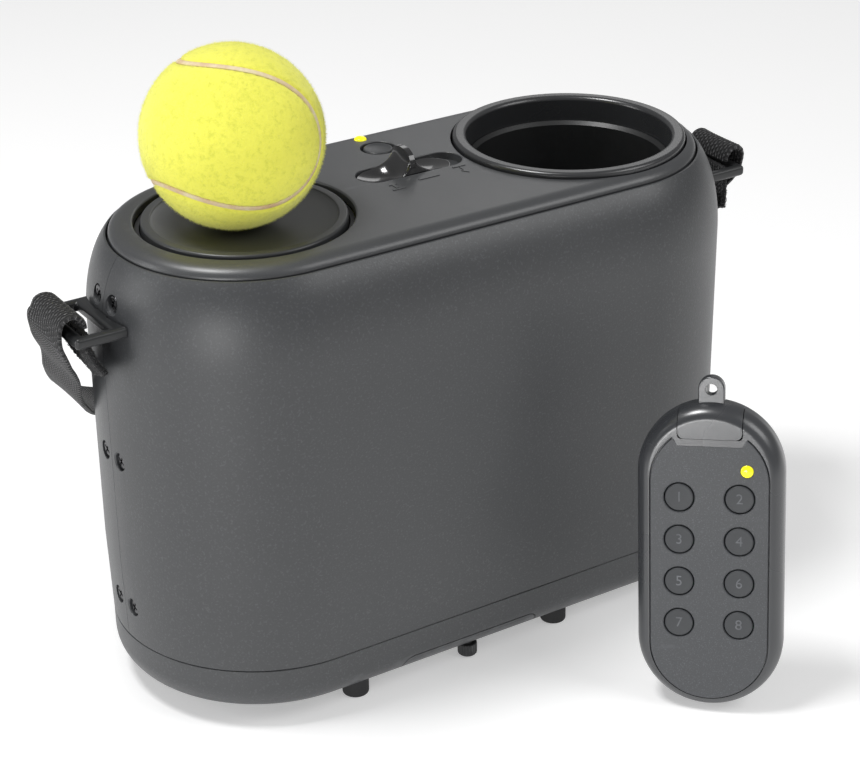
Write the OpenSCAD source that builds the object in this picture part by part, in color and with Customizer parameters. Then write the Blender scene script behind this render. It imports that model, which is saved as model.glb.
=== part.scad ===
// Portable tennis ball machine: a ball launcher and a ball dropper in one casing,
// with its carry strap, a ball and the hand-held remote.
// Origin at the middle of the casing's footprint on the floor, X along the casing, Z up.

/* [Casing] */
// Distance from the casing's middle to the centre of each round end
end_x = 72.5; // [70:0.5:76]
// Radius of the round ends, half the casing's depth
end_r = 60; // [58:0.5:62]
// Height of the top cover above the floor
cover_top = 186; // [180:1:192]
// Height of the joint between base tray and side shells
base_seam = 26; // [24:0.5:28]
// Height of the underside above the floor
underside = 6; // [5:0.5:7]
// Thickness of the moulded walls
wall = 3; // [2.4:0.1:3.4]
// Gap between parts that are fastened together
fit_gap = 0.2; // [0.1:0.05:0.3]

/* [Launcher] */
// Radius of the plate that throws the ball
plate_r = 38.1; // [36:0.1:38.2]
// Travel of the launch plate
launch_travel = 70; // [50:1:70]
// Inner radius of the launch tube
launch_r = 38.6; // [38.5:0.1:39]
// Radius of the plunger rod
rod_r = 4; // [3:0.5:5]
// Mean radius of the launch spring
spring_r = 15; // [13:0.5:18]
// Radius of the spring's wire
spring_wire = 1.1; // [0.8:0.1:1.3]
// Turns of the launch spring
spring_turns = 7; // [5:1:8]
// Distance from the rod to the latch's pivot
latch_reach = 24; // [22:0.5:24]
// Angle by which the latch stands clear at rest
latch_open = 55; // [50:1:60]

/* [Drop tube] */
// Inner radius of the drop tube
drop_r = 38; // [36:0.1:38.2]
// Outer radius of the raised collar
collar_r = 45.8; // [44:0.1:46]
// Height of the collar's rim above the cover
collar_rise = 2; // [1:0.5:3]
// Radius of the gate
gate_r = 39.6; // [39:0.1:39.8]

/* [Controls] */
// Radius of the power button
button_r = 5.85; // [5:0.05:6]
// Length of the selector's sliding plate
slider_l = 40; // [36:1:40]
// Travel of the selector
slider_travel = 5; // [3:0.5:5]
// Radius of the indicator lens
lens_r = 2.5; // [2:0.1:2.5]

/* [Base] */
// Radius of a rubber foot
foot_r = 5.2; // [4:0.1:5.2]
// Width of the battery door
door_w = 62; // [56:1:62]
// Height of the door's upper edge above the floor
door_top = 14.5; // [13:0.5:15]
// Radius of a battery cell
cell_r = 9.1; // [8.8:0.1:9.2]
// Length of a battery cell
cell_l = 65; // [60:1:66]

/* [Strap] */
// Width of the webbing
strap_w = 25; // [20:1:26]
// Thickness of the webbing
strap_t = 2.2; // [1.6:0.1:2.4]
// Height of the strap loops above the floor
loop_z = 160; // [150:1:162]

/* [Ball] */
// Radius of the ball
ball_r = 33.25; // [32.7:0.05:34]
// Thickness of the ball's felt
felt_t = 3.3; // [2.5:0.1:3.5]

/* [Remote] */
// Half the width of the remote
remote_r = 27.5; // [27:0.1:28]
// Length of the remote without its key loop
remote_l = 120; // [120:0.5:122]
// Thickness of the remote's front half
remote_t = 10; // [9.5:0.1:10.5]
// Thickness of the remote's back half
remote_back_t = 8; // [7.5:0.1:9]
// Radius of a key on the remote
key_r = 5.35; // [4.8:0.05:5.6]
// Angle by which the remote leans back
remote_lean = 10; // [6:1:12]
// Angle by which the remote is turned towards the left
remote_turn = 45; // [35:1:50]
// Angle by which the remote is rolled round its bottom end
remote_roll = 3.3; // [0:0.1:5]

/* [Hidden] */

$fn = 64;
eps = 0.01;
casing_color = [0.24, 0.24, 0.25];
dark_color = [0.1, 0.1, 0.1];
steel_color = [0.7, 0.7, 0.72];

// Casing levels: the shoulder is a quarter ellipse from the wall to the flat top
shoulder_z = 150;
shoulder_w = 16;
shoulder_h = cover_top - shoulder_z;
cover_seam = cover_top - 4;
tray_floor = underside + wall;
base_r = end_r - 1;
base_round_w = 11.5;
base_round_h = 12;
lip_h = 3;

// Launcher levels
tube_floor = 88;
tube_top = cover_top - wall - fit_gap;
plate_under = cover_top - 5;
dish_z = cover_top - 1.6;
ball_pos = [-end_x - 4.2, -1.9, dish_z + ball_r + 0.2];
collar_h = 5;
catch_top = 87;
latch_z = catch_top - launch_travel + fit_gap;
latch_t = 3;
servo_z = latch_z + 6.8;

// Drop tube levels
sleeve_top = cover_top - 8;
sleeve_bottom = tray_floor + 0.3;
hinge_x = end_x + 43.5;
hinge_z = underside + 0.6;
gate_t = 2.5;
gate_z = underside + 0.4;
pin_r = 1.25;

// Places of the controls on the cover
lens_pos = [2.7, 43.3];
button_pos = [3.4, 31];
slider_x = [-12.7, 17.7];
slider_y = 6.75;
slot_r = 7.5;
recess_z = cover_top - 3;
board_z = 165;

// Base
door_x = -43;
door_rear = 26;
door_corner = 4.5;
door_axis_y = door_rear - fit_gap - wall / 2;
screw_pos = [-9, -50];
foot_pos = [[-59.5, -48], [-59.5, 48], [34.7, -47], [34.7, 47], [105.5, -33], [105.5, 33]];
cell_x = [-20.5, -2, 16.5];
cell_z = 22.6;
row_z = [41, 104, 167];
row_y = 6;

// Remote: drawn flat, X along its length from the bottom, Z out of its face
remote_pos = [50.9, -126.8, 0.26];
remote_mid = remote_l / 2;
remote_half = remote_l / 2 - remote_r;
key_pitch = 16.65;
key_x = [for (i = [3:-1:0]) 34.7 + key_pitch * i];
key_y = [11.2, -11.2];
lamp_pos = [95.6, -13.8];
face_r = 22;
face_x = [26.3, 90.3];
cap_x = 107.6;
cap_w = 11.9;
loop_x = 125;

function mirrored(p) = [p[0] * -1, p[1], p[2], 180 - p[3]];
function arc(c, a, b, from, to, steps = 8) =
    [for (i = [0:steps]) let (t = from + (to - from) * i / steps) [c[0] + a * cos(t), c[1] + b * sin(t)]];
// Radius of the shells' outside at height z
function wall_r(z) = z > shoulder_z
    ? end_r - shoulder_w + shoulder_w * sqrt(1 - pow((z - shoulder_z) / shoulder_h, 2))
    : min(end_r, base_r + (z - base_seam) / 34);

// Outline of the side shells, set in by off, between the base seam and height top
function shell_outline(off, top) =
    let (stop = asin(min(1, (top - shoulder_z) / (shoulder_h - off))))
    concat([[0, base_seam - (off > 0 ? 1 : -fit_gap)], [base_r - off, base_seam - (off > 0 ? 1 : -fit_gap)],
        [end_r - off, 60]],
        arc([end_r - shoulder_w, shoulder_z], shoulder_w - off, shoulder_h - off, 0, stop),
        [[0, top]]);
// Outline of the base tray, set in by off
function tray_outline(off, top) = concat([[0, underside + off]],
    arc([base_r - base_round_w, underside + base_round_h], base_round_w - off, base_round_h - off, -90, 0),
    [[base_r - off, top], [0, top]]);

// A solid with two round ends and straight sides, from the outline [radius, height]
module obround(points, half = end_x) {
    for (side = [-1, 1])
        translate([side * half, 0, 0]) rotate([0, 0, -90 * side])
            rotate_extrude(angle = 180) polygon(points);
    rotate([90, 0, 90]) translate([0, 0, -half]) linear_extrude(2 * half) {
        polygon(points);
        mirror([1, 0]) polygon(points);
    }
}
// A ring of inner radius r1, outer radius r2
module ring(r1, r2, z1, z2) {
    rotate_extrude() translate([r1, z1]) square([r2 - r1, z2 - z1]);
}
// A box between two corners
module block(low, high) {
    translate(low) cube(high - low);
}
// A slot with round ends between x[0] and x[1]
module slot(x, y, r, z1, z2) {
    for (end = x) translate([end, y, z1]) cylinder(r = r, h = z2 - z1);
    block([x[0], y - r, z1], [x[1], y + r, z2]);
}
// A wire of radius wire coiled about Z from height z1 to z2
module coil(r, wire, turns, z1, z2, sides = 8, steps = 24) {
    rings = turns * steps;
    points = [for (i = [0:rings]) for (j = [0:sides - 1])
        let (a = 360 * i / steps, b = 360 * j / sides, q = r + wire * cos(b))
        [q * cos(a), q * sin(a), z1 + (z2 - z1) * i / rings + wire * sin(b)]];
    swept(points, rings, sides);
}
// The closed skin over rings of points
module swept(points, rings, sides) {
    polyhedron(points, concat(
        [[for (j = [0:sides - 1]) j]],
        [for (i = [0:rings - 1]) for (j = [0:sides - 1]) let (k = (j + 1) % sides)
            each [[i * sides + j, (i + 1) * sides + j, i * sides + k],
                [i * sides + k, (i + 1) * sides + j, (i + 1) * sides + k]]],
        [[for (j = [sides - 1:-1:0]) rings * sides + j]]));
}
// Flat webbing along route, whose points are [x, y, z, direction of its width]
module webbing(route, w = strap_w, t = strap_t) {
    last = len(route) - 1;
    points = [for (i = [0:last])
        let (p = route[i], ahead = route[min(i + 1, last)] - route[max(i - 1, 0)],
            dir = [ahead[0], ahead[1], ahead[2]], along = dir / norm(dir),
            across = [cos(p[3]), sin(p[3]), 0],
            out = cross(along, across) / norm(cross(along, across)),
            side = cross(out, along))
        for (c = [[-1, -1], [1, -1], [1, 1], [-1, 1]])
            [p[0], p[1], p[2]] + side * c[0] * w / 2 + out * c[1] * t / 2];
    swept(points, last, 4);
}

// The holes and recesses for the screws at one end of the casing, side -1 or 1
module end_screws(side) {
    for (z = row_z, y = [-row_y, row_y]) translate([side * (end_x + wall_r(z)), y, z])
        rotate([0, -90 * side, 0]) children();
}

module tray_body() {
    difference() {
        obround(tray_outline(0, base_seam));
        obround(tray_outline(wall, base_seam + 1));
    }
}
// The door's outline through the tray, grown by off
module door_space(off) {
    x1 = door_x - off;
    x2 = door_x + door_w + off;
    top = door_top + off;
    rotate([90, 0, 0]) translate([0, 0, -door_rear - off]) linear_extrude(door_rear + end_r + 1) {
        for (x = [x1 + door_corner, x2 - door_corner]) translate([x, top - door_corner]) circle(door_corner);
        translate([x1 + door_corner, 0]) square([x2 - x1 - 2 * door_corner, top]);
        translate([x1, 0]) square([x2 - x1, top - door_corner]);
    }
}

module base_tray() {
    color(casing_color) difference() {
        union() {
            difference() {
                tray_body();
                door_space(fit_gap);
            }
            // Lip that locates the side shells
            obround([[53.9, base_seam - 4], [base_r - wall + 0.5, base_seam - 4], [base_r - wall + 0.5, base_seam],
                [base_r - wall - 0.4, base_seam], [base_r - wall - 0.4, base_seam + lip_h], [53.9, base_seam + lip_h]]);
            // Bosses over the feet
            for (p = foot_pos) translate([p[0], p[1], tray_floor - 1.6]) cylinder(r = 6.4, h = 5);
            // Nut block of the door's thumbscrew
            block([screw_pos[0] - 6, -base_r + 2, door_top + 1], [screw_pos[0] + 6, screw_pos[1] + 5, door_top + 8]);
            // Wall round the ball's way out
            translate([end_x, 0, 0]) ring(gate_r + 0.9, gate_r + 3, underside, tray_floor + 3);
            // Ears of the gate's hinge
            for (y = [-12, 6.6]) translate([hinge_x, y, hinge_z]) rotate([-90, 0, 0]) cylinder(r = 2.6, h = 5.4);
        }
        translate([end_x, 0, 0]) cylinder(r = gate_r + 0.9, h = tray_floor + 4);
        for (p = foot_pos) translate([p[0], p[1], 0]) cylinder(r = foot_r + fit_gap, h = tray_floor - 0.4);
        translate([screw_pos[0], screw_pos[1], 0]) cylinder(r = 3, h = door_top + 9);
        // Slots for the gate's hinge and for its tab
        block([end_x + 38, -6.4, 0], [hinge_x + 3.4, 6.4, tray_floor + 0.6]);
        block([26.9, -6.6, 0], [35, 6.6, tray_floor + 4]);
        translate([hinge_x, -13, hinge_z]) rotate([-90, 0, 0]) cylinder(r = pin_r + 0.03, h = 26);
    }
}

module battery_door() {
    color(casing_color) difference() {
        union() {
            intersection() {
                tray_body();
                door_space(-fit_gap);
                translate([-end_x, -end_r, 0]) cube([2 * end_x, end_r + door_axis_y, 30]);
            }
            // Round rear edge, on which the door turns
            translate([door_x + fit_gap, door_axis_y, underside + wall / 2]) rotate([0, 90, 0])
                cylinder(r = wall / 2, h = door_w - 2 * fit_gap);
            // Tongues that hook over the tray's floor
            for (x = [-34, 8]) {
                block([x, door_axis_y - 3, tray_floor - 0.5], [x + 6, door_axis_y + 0.2, tray_floor + 2]);
                block([x, door_axis_y - 1, tray_floor + 0.2], [x + 6, door_rear + 2.4, tray_floor + 2]);
            }
            translate([screw_pos[0], screw_pos[1], underside + 2]) cylinder(r = 5, h = 3);
        }
        translate([screw_pos[0], screw_pos[1], 0]) cylinder(r = 2.3, h = door_top + 1);
    }
}

module door_thumbscrew() {
    ribs = 20;
    color(dark_color) translate([screw_pos[0], screw_pos[1], 0]) {
        difference() {
            translate([0, 0, 0.6]) cylinder(r = 3.9, h = underside - 0.8);
            for (i = [0:ribs - 1]) rotate([0, 0, 360 * i / ribs]) translate([4.1, 0, 0]) cylinder(r = 0.4, h = underside);
        }
        translate([0, 0, underside - 0.3]) cylinder(r = 2, h = door_top + 1);
    }
}

module rubber_feet() {
    color(dark_color) for (p = foot_pos) translate([p[0], p[1], 0]) rotate_extrude()
        polygon([[0, 0], [foot_r - 0.8, 0], [foot_r, 0.8], [foot_r, tray_floor - 0.7], [0, tray_floor - 0.7]]);
}

// Screws that hold the launch tube down to the tray
module base_screws() {
    color(steel_color) for (a = [60, 180, 300]) translate([-end_x, 0, 0]) rotate([0, 0, a])
        translate([33.5, 0, tray_floor + 2.6]) {
            cylinder(r = 2.6, h = 1.6);
            translate([0, 0, -2.5]) cylinder(r = 1.4, h = 2.5);
        }
}

module side_shell(side) {
    color(casing_color) difference() {
        obround(shell_outline(0, cover_seam));
        obround(shell_outline(wall, cover_seam - 2.6));
        // Opening for the cover, and the ledge below it
        obround([[0, cover_seam - 5], [end_r - 12.4, cover_seam - 5], [end_r - 12.4, cover_seam - 4],
            [end_r - 9.3, cover_seam - 4], [end_r - 9.3, cover_top], [0, cover_top]]);
        // The other half
        translate([-end_x - end_r - 1, side > 0 ? -end_r - 1 : -0.08, 0])
            cube([2 * (end_x + end_r + 1), end_r + 1.08, cover_top]);
        for (end = [-1, 1]) {
            end_screws(end) {
                translate([0, 0, -2]) cylinder(r = 3.5, h = 3.5);
                cylinder(r = 1.7, h = 8);
            }
            // Slot for the tongue of the strap loop
            translate([end * (end_x + end_r), 0, loop_z]) cube([20, 8.4, 4.4], center = true);
        }
    }
}

module shell_screws() {
    color(dark_color) for (end = [-1, 1]) end_screws(end) difference() {
        union() {
            translate([0, 0, 0.7]) cylinder(r = 3.1, h = 0.75);
            translate([0, 0, 1.4]) cylinder(r = 1.3, h = 8);
        }
        for (a = [0, 90]) rotate([0, 0, a]) translate([-1.8, -0.4, 0]) cube([3.6, 0.8, 1.1]);
    }
}

// Upright inside each round end that both shells are screwed to
module end_bracket(side) {
    color(dark_color) difference() {
        intersection() {
            translate([side * end_x, 0, 0]) ring(end_r - wall - 6, end_r - wall - 1.4, base_seam + 6, cover_seam - 9);
            translate([side * (end_x + 50), 0, 100]) cube([40, 26, 160], center = true);
            obround(shell_outline(wall + 1, cover_seam - 8));
        }
        end_screws(side) cylinder(r = 1.34, h = 14);
        translate([side * (end_x + end_r), 0, loop_z]) cube([26, 8.6, 4.6], center = true);
    }
}

module top_cover() {
    color(casing_color) difference() {
        union() {
            difference() {
                obround(concat([[0, cover_seam - 3.8], [end_r - 10, cover_seam - 3.8], [end_r - 10, cover_seam]],
                    arc([end_r - shoulder_w, cover_seam], shoulder_w - 10, cover_top - cover_seam, 0, 90),
                    [[0, cover_top]]));
                obround([[0, cover_seam - 5], [end_r - 12.5, cover_seam - 5], [end_r - 12.5, cover_top - wall],
                    [0, cover_top - wall]]);
            }
            block([-25, -4, recess_z - 4], [25, 46, cover_top - 1]);
            // Pillars for the control board
            for (x = [-24, 24], y = [-2, 36]) translate([x, y, board_z + 1.7]) cylinder(r = 3, h = 14);
        }
        translate([-end_x, 0, 0]) cylinder(r = launch_r + 2, h = cover_top + 1);
        translate([end_x, 0, 0]) cylinder(r = collar_r + 0.9, h = cover_top + 1);
        translate([lens_pos[0], lens_pos[1], 0]) cylinder(r = lens_r + 0.1, h = cover_top + 1);
        translate([button_pos[0], button_pos[1], 0]) cylinder(r = button_r + fit_gap, h = cover_top + 1);
        translate([button_pos[0], button_pos[1], cover_top - 2]) cylinder(r = 7.2, h = 3);
        slot(slider_x, slider_y, slot_r, recess_z, cover_top + 1);
        // Slot for the selector's stem
        block([-4, slider_y - 2, 0], [slider_travel + 4, slider_y + 2, cover_top]);
    }
}

module indicator_lens() {
    color("yellow") translate([lens_pos[0], lens_pos[1], 0]) rotate_extrude()
        polygon(concat([[0, cover_top - 8], [lens_r, cover_top - 8]],
            arc([0, cover_top - 0.2], lens_r, 1.3, 0, 90, 6)));
}

module power_button() {
    color(dark_color) translate([button_pos[0], button_pos[1], 0]) rotate_extrude()
        polygon([[0, 177.5], [6.8, 177.5], [6.8, 178.7], [button_r, 178.7], [button_r, cover_top - 0.4],
            [button_r - 0.6, cover_top], [2, cover_top - 0.5], [0, cover_top - 0.6]]);
}

module power_switch() {
    color(steel_color) translate([button_pos[0], button_pos[1], 0]) {
        translate([-3, -3, board_z + 1.7]) cube([6, 6, 7.5]);
        translate([0, 0, board_z + 9]) cylinder(r = 1.7, h = 2);
    }
}

module selector_slider() {
    x1 = slider_x[0] - slot_r + 0.2 + 7.2;
    x2 = x1 + slider_l - 14.4;
    mid = (x1 + x2) / 2;
    color(dark_color) {
        slot([x1, x2], slider_y, 7.2, recess_z + fit_gap, recess_z + 2.2);
        // Raised thumb grip: a fin with a round crest
        intersection() {
            slot([x1 + 2, x2 - 2], slider_y, 6.6, recess_z + 2, recess_z + 12);
            translate([mid, slider_y + 9, recess_z + 2.1]) rotate([90, 0, 0]) linear_extrude(18)
                polygon(concat([[-12, -0.2]], arc([-12, 9], 10, 9, -90, 0, 8), arc([0, 8.4], 2, 1.4, 180, 0, 6),
                    arc([12, 9], 10, 9, 180, 270, 8), [[12, -0.2]]));
        }
        block([mid - 3, slider_y - 1.4, 174], [mid + 3, slider_y + 1.4, recess_z + 0.5]);
    }
}

module selector_switch() {
    color(steel_color) difference() {
        block([-12, slider_y - 5, board_z + 1.7], [14, slider_y + 5, 177]);
        block([-5, slider_y - 2, 172], [slider_travel + 5, slider_y + 2, 178]);
    }
}

module control_board() {
    color("darkgreen") {
        difference() {
            block([-29, -30, board_z], [29, 46, board_z + 1.6]);
            for (x = [-end_x, end_x]) translate([x, 0, board_z - 1]) cylinder(r = 46.8, h = 4);
        }
        block([-10, 12, board_z - 4], [6, 28, board_z - fit_gap]);
        block([-8, -26, board_z - 9], [8, -14, board_z - fit_gap]);
    }
}

module wiring_loom() {
    route = [[0, -36, 150], [0, -40, 140], [0, -42, 124], [0, -42, 100], [0, -42, 76], [0, -42, 52], [0, -39, 40]];
    sides = 8;
    points = [for (p = route) for (j = [0:sides - 1]) p + 2.4 * [cos(360 * j / sides), sin(360 * j / sides), 0]];
    color("red") swept(points, len(route) - 1, sides);
}

module launch_tube() {
    color(dark_color) translate([-end_x, 0, 0]) difference() {
        union() {
            ring(launch_r, launch_r + 1.7, tray_floor + fit_gap, tube_top);
            translate([0, 0, tube_floor]) cylinder(r = launch_r + 1, h = wall);
            // Feet for the screws
            for (a = [60, 180, 300]) rotate([0, 0, a]) translate([0, 0, tray_floor + fit_gap]) intersection() {
                ring(30, launch_r + 1, 0, 2.2);
                translate([30, -6, 0]) cube([10, 12, 4]);
            }
        }
        translate([0, 0, tube_floor - 1]) cylinder(r = 7, h = wall + 2);
        for (a = [60, 180, 300]) rotate([0, 0, a]) translate([33.5, 0, 0]) cylinder(r = 1.6, h = 30);
        // Window for the servo's lead
        translate([30, -10, 40]) cube([20, 20, 26]);
    }
}

module rod_bush() {
    color("tan") translate([-end_x, 0, 0]) rotate_extrude()
        polygon([[rod_r + 0.06, tube_floor - 0.7], [6.95, tube_floor - 0.7], [6.95, tube_floor + wall + 0.02],
            [10, tube_floor + wall + 0.02], [10, tube_floor + wall + 1.5], [rod_r + 0.06, tube_floor + wall + 1.5]]);
}

module launch_spring() {
    color(steel_color) translate([-end_x, 0, 0])
        coil(spring_r, spring_wire, spring_turns, tube_floor + wall + 1.3, plate_under - 1.3);
}

module launch_plate() {
    color(dark_color) translate([-end_x, 0, 0]) rotate_extrude()
        polygon([[0, plate_under - 1], [rod_r + 0.05, plate_under - 1], [rod_r + 0.05, plate_under - 9],
            [9, plate_under - 9], [9, plate_under], [plate_r, plate_under], [plate_r, cover_top - 0.5],
            [plate_r - 0.7, cover_top + 0.2], [plate_r - 3.4, cover_top + 0.2], [plate_r - 4.2, cover_top - 0.4],
            [12, dish_z], [0, dish_z]]);
}

module plunger_rod() {
    color(steel_color) translate([-end_x, 0, catch_top - collar_h])
        cylinder(r = rod_r, h = plate_under - 1.1 - catch_top + collar_h);
}

module catch_collar() {
    color(steel_color) translate([-end_x, 0, 0]) ring(rod_r + 0.05, 7.5, catch_top - collar_h, catch_top);
}

module release_servo() {
    x = latch_reach - end_x;
    color("dimgray") {
        block([x - 6, -6, servo_z], [x + 6, 17, servo_z + 22]);
        block([x - 6, -10.6, servo_z + 4.4], [x + 6, 21.6, servo_z + 6.8]);
    }
}

module servo_bracket() {
    x = latch_reach - end_x;
    color(dark_color) difference() {
        union() {
            intersection() {
                block([x - 6, -15, servo_z + 2], [x + 10, 24, servo_z + 4.2]);
                translate([-end_x, 0, 0]) cylinder(r = launch_r - 0.3, h = servo_z + 10);
            }
            block([x - 0.5, -15, tray_floor + fit_gap], [x + 5, -12.6, servo_z + 3]);
            block([x - 0.5, 21.8, tray_floor + fit_gap], [x + 5, 24, servo_z + 3]);
        }
        block([x - 6.2, -6.2, servo_z], [x + 6.2, 17.2, servo_z + 5]);
    }
}

// Forked latch on the servo's shaft, which sweeps in over the catch collar
module release_latch() {
    slot_w = rod_r + 0.7;
    color(steel_color) translate([latch_reach - end_x, 0, 0]) rotate([0, 0, latch_open]) {
        difference() {
            union() {
                translate([0, 0, latch_z]) cylinder(r = 6, h = latch_t);
                translate([-latch_reach, 0, latch_z]) cylinder(r = 9.5, h = latch_t);
                block([-latch_reach, -5, latch_z], [0, 5, latch_z + latch_t]);
            }
            translate([-latch_reach, 0, latch_z - 1]) cylinder(r = slot_w, h = latch_t + 2);
            rotate([0, 0, 120]) translate([0, 0, latch_z - 1]) rotate_extrude(angle = 60)
                translate([latch_reach - slot_w, 0]) square([2 * slot_w, latch_t + 2]);
        }
        translate([0, 0, latch_z + latch_t - eps]) cylinder(r = 2.9, h = servo_z - latch_z - latch_t - fit_gap);
    }
}

module drop_collar() {
    top = cover_top + collar_rise;
    inner = drop_r + 2.3;
    color(dark_color) translate([end_x, 0, 0]) rotate_extrude()
        polygon(concat([[inner, 170], [inner + 2.2, 170], [inner + 2.2, cover_top - 5.5], [collar_r, cover_top - 5.5]],
            arc([collar_r - 1.5, top - 1.5], 1.5, 1.5, 0, 90, 5), arc([inner + 1.8, top - 1.8], 1.8, 1.8, 90, 180, 5)));
}

module drop_tube() {
    color(dark_color) translate([end_x, 0, 0]) difference() {
        rotate_extrude() polygon([[drop_r, sleeve_bottom], [drop_r + 2.1, sleeve_bottom], [drop_r + 2.1, sleeve_top],
            [drop_r + 1.4, sleeve_top], [drop_r, sleeve_top - 1.4]]);
        translate([-46, -7, 0]) cube([8.5, 14, 21.2]);
    }
}

module drop_gate() {
    color(dark_color) difference() {
        union() {
            translate([end_x, 0, gate_z]) cylinder(r = gate_r, h = gate_t);
            // Tab under the magnet
            block([27.5, -5.4, gate_z], [end_x - 38, 5.4, gate_z + gate_t]);
            // Hinge knuckles
            for (y = [-6, 2.6]) {
                block([end_x + 37, y, gate_z], [hinge_x, y + 3.4, gate_z + gate_t - 0.1]);
                translate([hinge_x, y, hinge_z]) rotate([-90, 0, 0]) cylinder(r = 2.3, h = 3.4);
            }
        }
        translate([hinge_x, -10, hinge_z]) rotate([-90, 0, 0]) cylinder(r = pin_r + 0.08, h = 20);
        block([28, -4.6, gate_z + 1.9], [33.4, 4.6, gate_z + gate_t + 1]);
    }
}

module gate_hinge_pin() {
    color(steel_color) translate([hinge_x, -12, hinge_z]) rotate([-90, 0, 0]) cylinder(r = pin_r, h = 24);
}

module gate_spring() {
    color(steel_color) translate([hinge_x, 0, hinge_z]) rotate([90, 0, 0])
        coil(1.95, 0.35, 4, -1.8, 1.8, 6, 16);
}

module gate_magnet() {
    color(steel_color) block([27.6, -6, tray_floor + 0.3], [33.6, 6, tray_floor + 11.6]);
}

module gate_striker() {
    color(steel_color) block([28.1, -4.5, gate_z + 1.95], [33.3, 4.5, gate_z + gate_t]);
}

module battery_cells() {
    color("royalblue") for (x = cell_x) translate([x, -cell_l / 2, cell_z]) rotate([-90, 0, 0]) {
        cylinder(r = cell_r, h = cell_l - 1);
        cylinder(r = 3, h = cell_l);
    }
}

module battery_cradle() {
    x1 = cell_x[0] - cell_r - 0.2;
    x2 = cell_x[2] + cell_r + 0.2;
    y = cell_l / 2 + 0.4;
    top = cell_z + cell_r + 0.2;
    color(dark_color) {
        block([x1 - 1.2, -y - 1.4, top], [x2 + 1.2, y + 1.4, top + 1.6]);
        block([x2, -y - 1.4, tray_floor + fit_gap], [x2 + 1.2, y + 1.4, top + 1]);
        block([x1 - 1.2, -y - 1.4, tray_floor + 4], [x1, y + 1.4, top + 1]);
        block([x1 - 1.2, y, tray_floor + 4], [x2 + 1.2, y + 1.4, top + 1]);
        block([x1 - 1.2, -y - 1.4, tray_floor + 4], [x2 + 1.2, -y, top + 1]);
        block([-26, y, tray_floor + fit_gap], [22, y + 1.4, tray_floor + 5]);
    }
}

// Flat rectangular loop that the strap's end wraps
module strap_loop(side) {
    x = end_x + end_r;
    color(dark_color) scale([side, 1, 1]) {
        difference() {
            union() {
                block([x - 4, -17, loop_z - 2.2], [x + 17, 17, loop_z + 2.2]);
                block([x - 8, -4, loop_z - 2], [x, 4, loop_z + 2]);
            }
            block([x + 3, -13.4, loop_z - 4], [x + 13, 13.4, loop_z + 4]);
            difference() {
                translate([end_x, 0, loop_z - 5]) cylinder(r = end_r - 0.05, h = 10);
                block([x - 9, -4, loop_z - 6], [x + 1, 4, loop_z + 6]);
            }
        }
    }
}

// Route of the strap behind the casing, from the left loop to the middle
strap_route = [[-143.6, 0, 163.6, 90], [-144, 0, 166, 90], [-146.6, 0, 168.6, 90], [-150.2, 0.3, 168.2, 90],
    [-152.2, 1, 165, 90], [-152.2, 3, 158.5, 90], [-148, 10, 148, 90], [-141.6, 20, 136, 90],
    [-134.5, 34, 120, 90], [-123, 53, 104, 90], [-107, 68, 91, 90], [-84, 76, 81, 90], [-56, 79, 74, 90],
    [-28, 80, 70, 90], [0, 80, 68.5, 90]];
tail_route = [[-143.2, 0, 161.4, 90], [-143, 0, 156.5, 90], [-140.8, -2.5, 149.5, 90], [-136.8, -6.5, 142, 90]];

module carry_strap() {
    color(dark_color) webbing(concat(strap_route, [for (i = [len(strap_route) - 2:-1:0]) mirrored(strap_route[i])]));
}

module strap_tail(side) {
    color(dark_color) webbing(side < 0 ? tail_route
        : [for (i = [len(tail_route) - 1:-1:0]) mirrored(tail_route[i])], strap_w - 1, strap_t);
}

module ball_core() {
    color("dimgray") translate(ball_pos) difference() {
        sphere(r = ball_r - felt_t - 0.05);
        sphere(r = ball_r - felt_t - 3.4);
    }
}

module tennis_ball() {
    color([0.85, 0.9, 0.2]) translate(ball_pos) difference() {
        sphere(r = ball_r);
        sphere(r = ball_r - felt_t);
    }
}

// Stands the flat-drawn remote on the floor, leaning back towards the casing
module remote_place() {
    translate(remote_pos) rotate([0, 0, -remote_turn]) rotate([-remote_lean, 0, 0]) rotate([0, -90, 90])
        translate([remote_r, 0, 0]) rotate([0, 0, remote_roll]) translate([-remote_r, 0, 0]) children();
}
function remote_front(off) = concat([[0, 0.05], [remote_r - off, 0.05]],
    arc([remote_r - 5.2, 2.5], 5.2 - off, remote_t - 2.5 - off, 0, 90), [[0, remote_t - off]]);
function remote_back(off, top) = concat([[0, -remote_back_t + off]],
    arc([remote_r - 7, -2], 6.8 - off, remote_back_t - 2 - off, -90, 0), [[remote_r - 0.2 - off, top], [0, top]]);

module remote_back_shell() {
    color(dark_color) remote_place() difference() {
        translate([remote_mid, 0, 0]) obround(remote_back(0, -0.05), remote_half);
        translate([remote_mid, 0, 0]) obround(remote_back(1.8, 1), remote_half);
    }
}
// The space inside the front half
module remote_inside() {
    translate([remote_mid, 0, 0]) obround([[0, -1], [remote_r - 2, -1], [remote_r - 2, 2.5], [remote_r - 5, 6.6],
        [0, 6.6]], remote_half);
}
// The places of the keys and the lamp
module key_holes(r) {
    for (x = key_x, y = key_y) translate([x, y, 0]) cylinder(r = r, h = remote_t + 3);
    translate([lamp_pos[0], lamp_pos[1], 0]) cylinder(r = 2.45, h = remote_t + 3);
}

module remote_front_shell() {
    color(dark_color) remote_place() difference() {
        translate([remote_mid, 0, 0]) obround(remote_front(0), remote_half);
        remote_inside();
        slot(face_x, 0, face_r + 0.2, remote_t - 1.3, remote_t + 1);
        key_holes(key_r + 0.25);
        block([cap_x - 0.2, -cap_w - 0.2, -1], [remote_l + 1, cap_w + 0.2, remote_t + 3]);
    }
}

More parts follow.
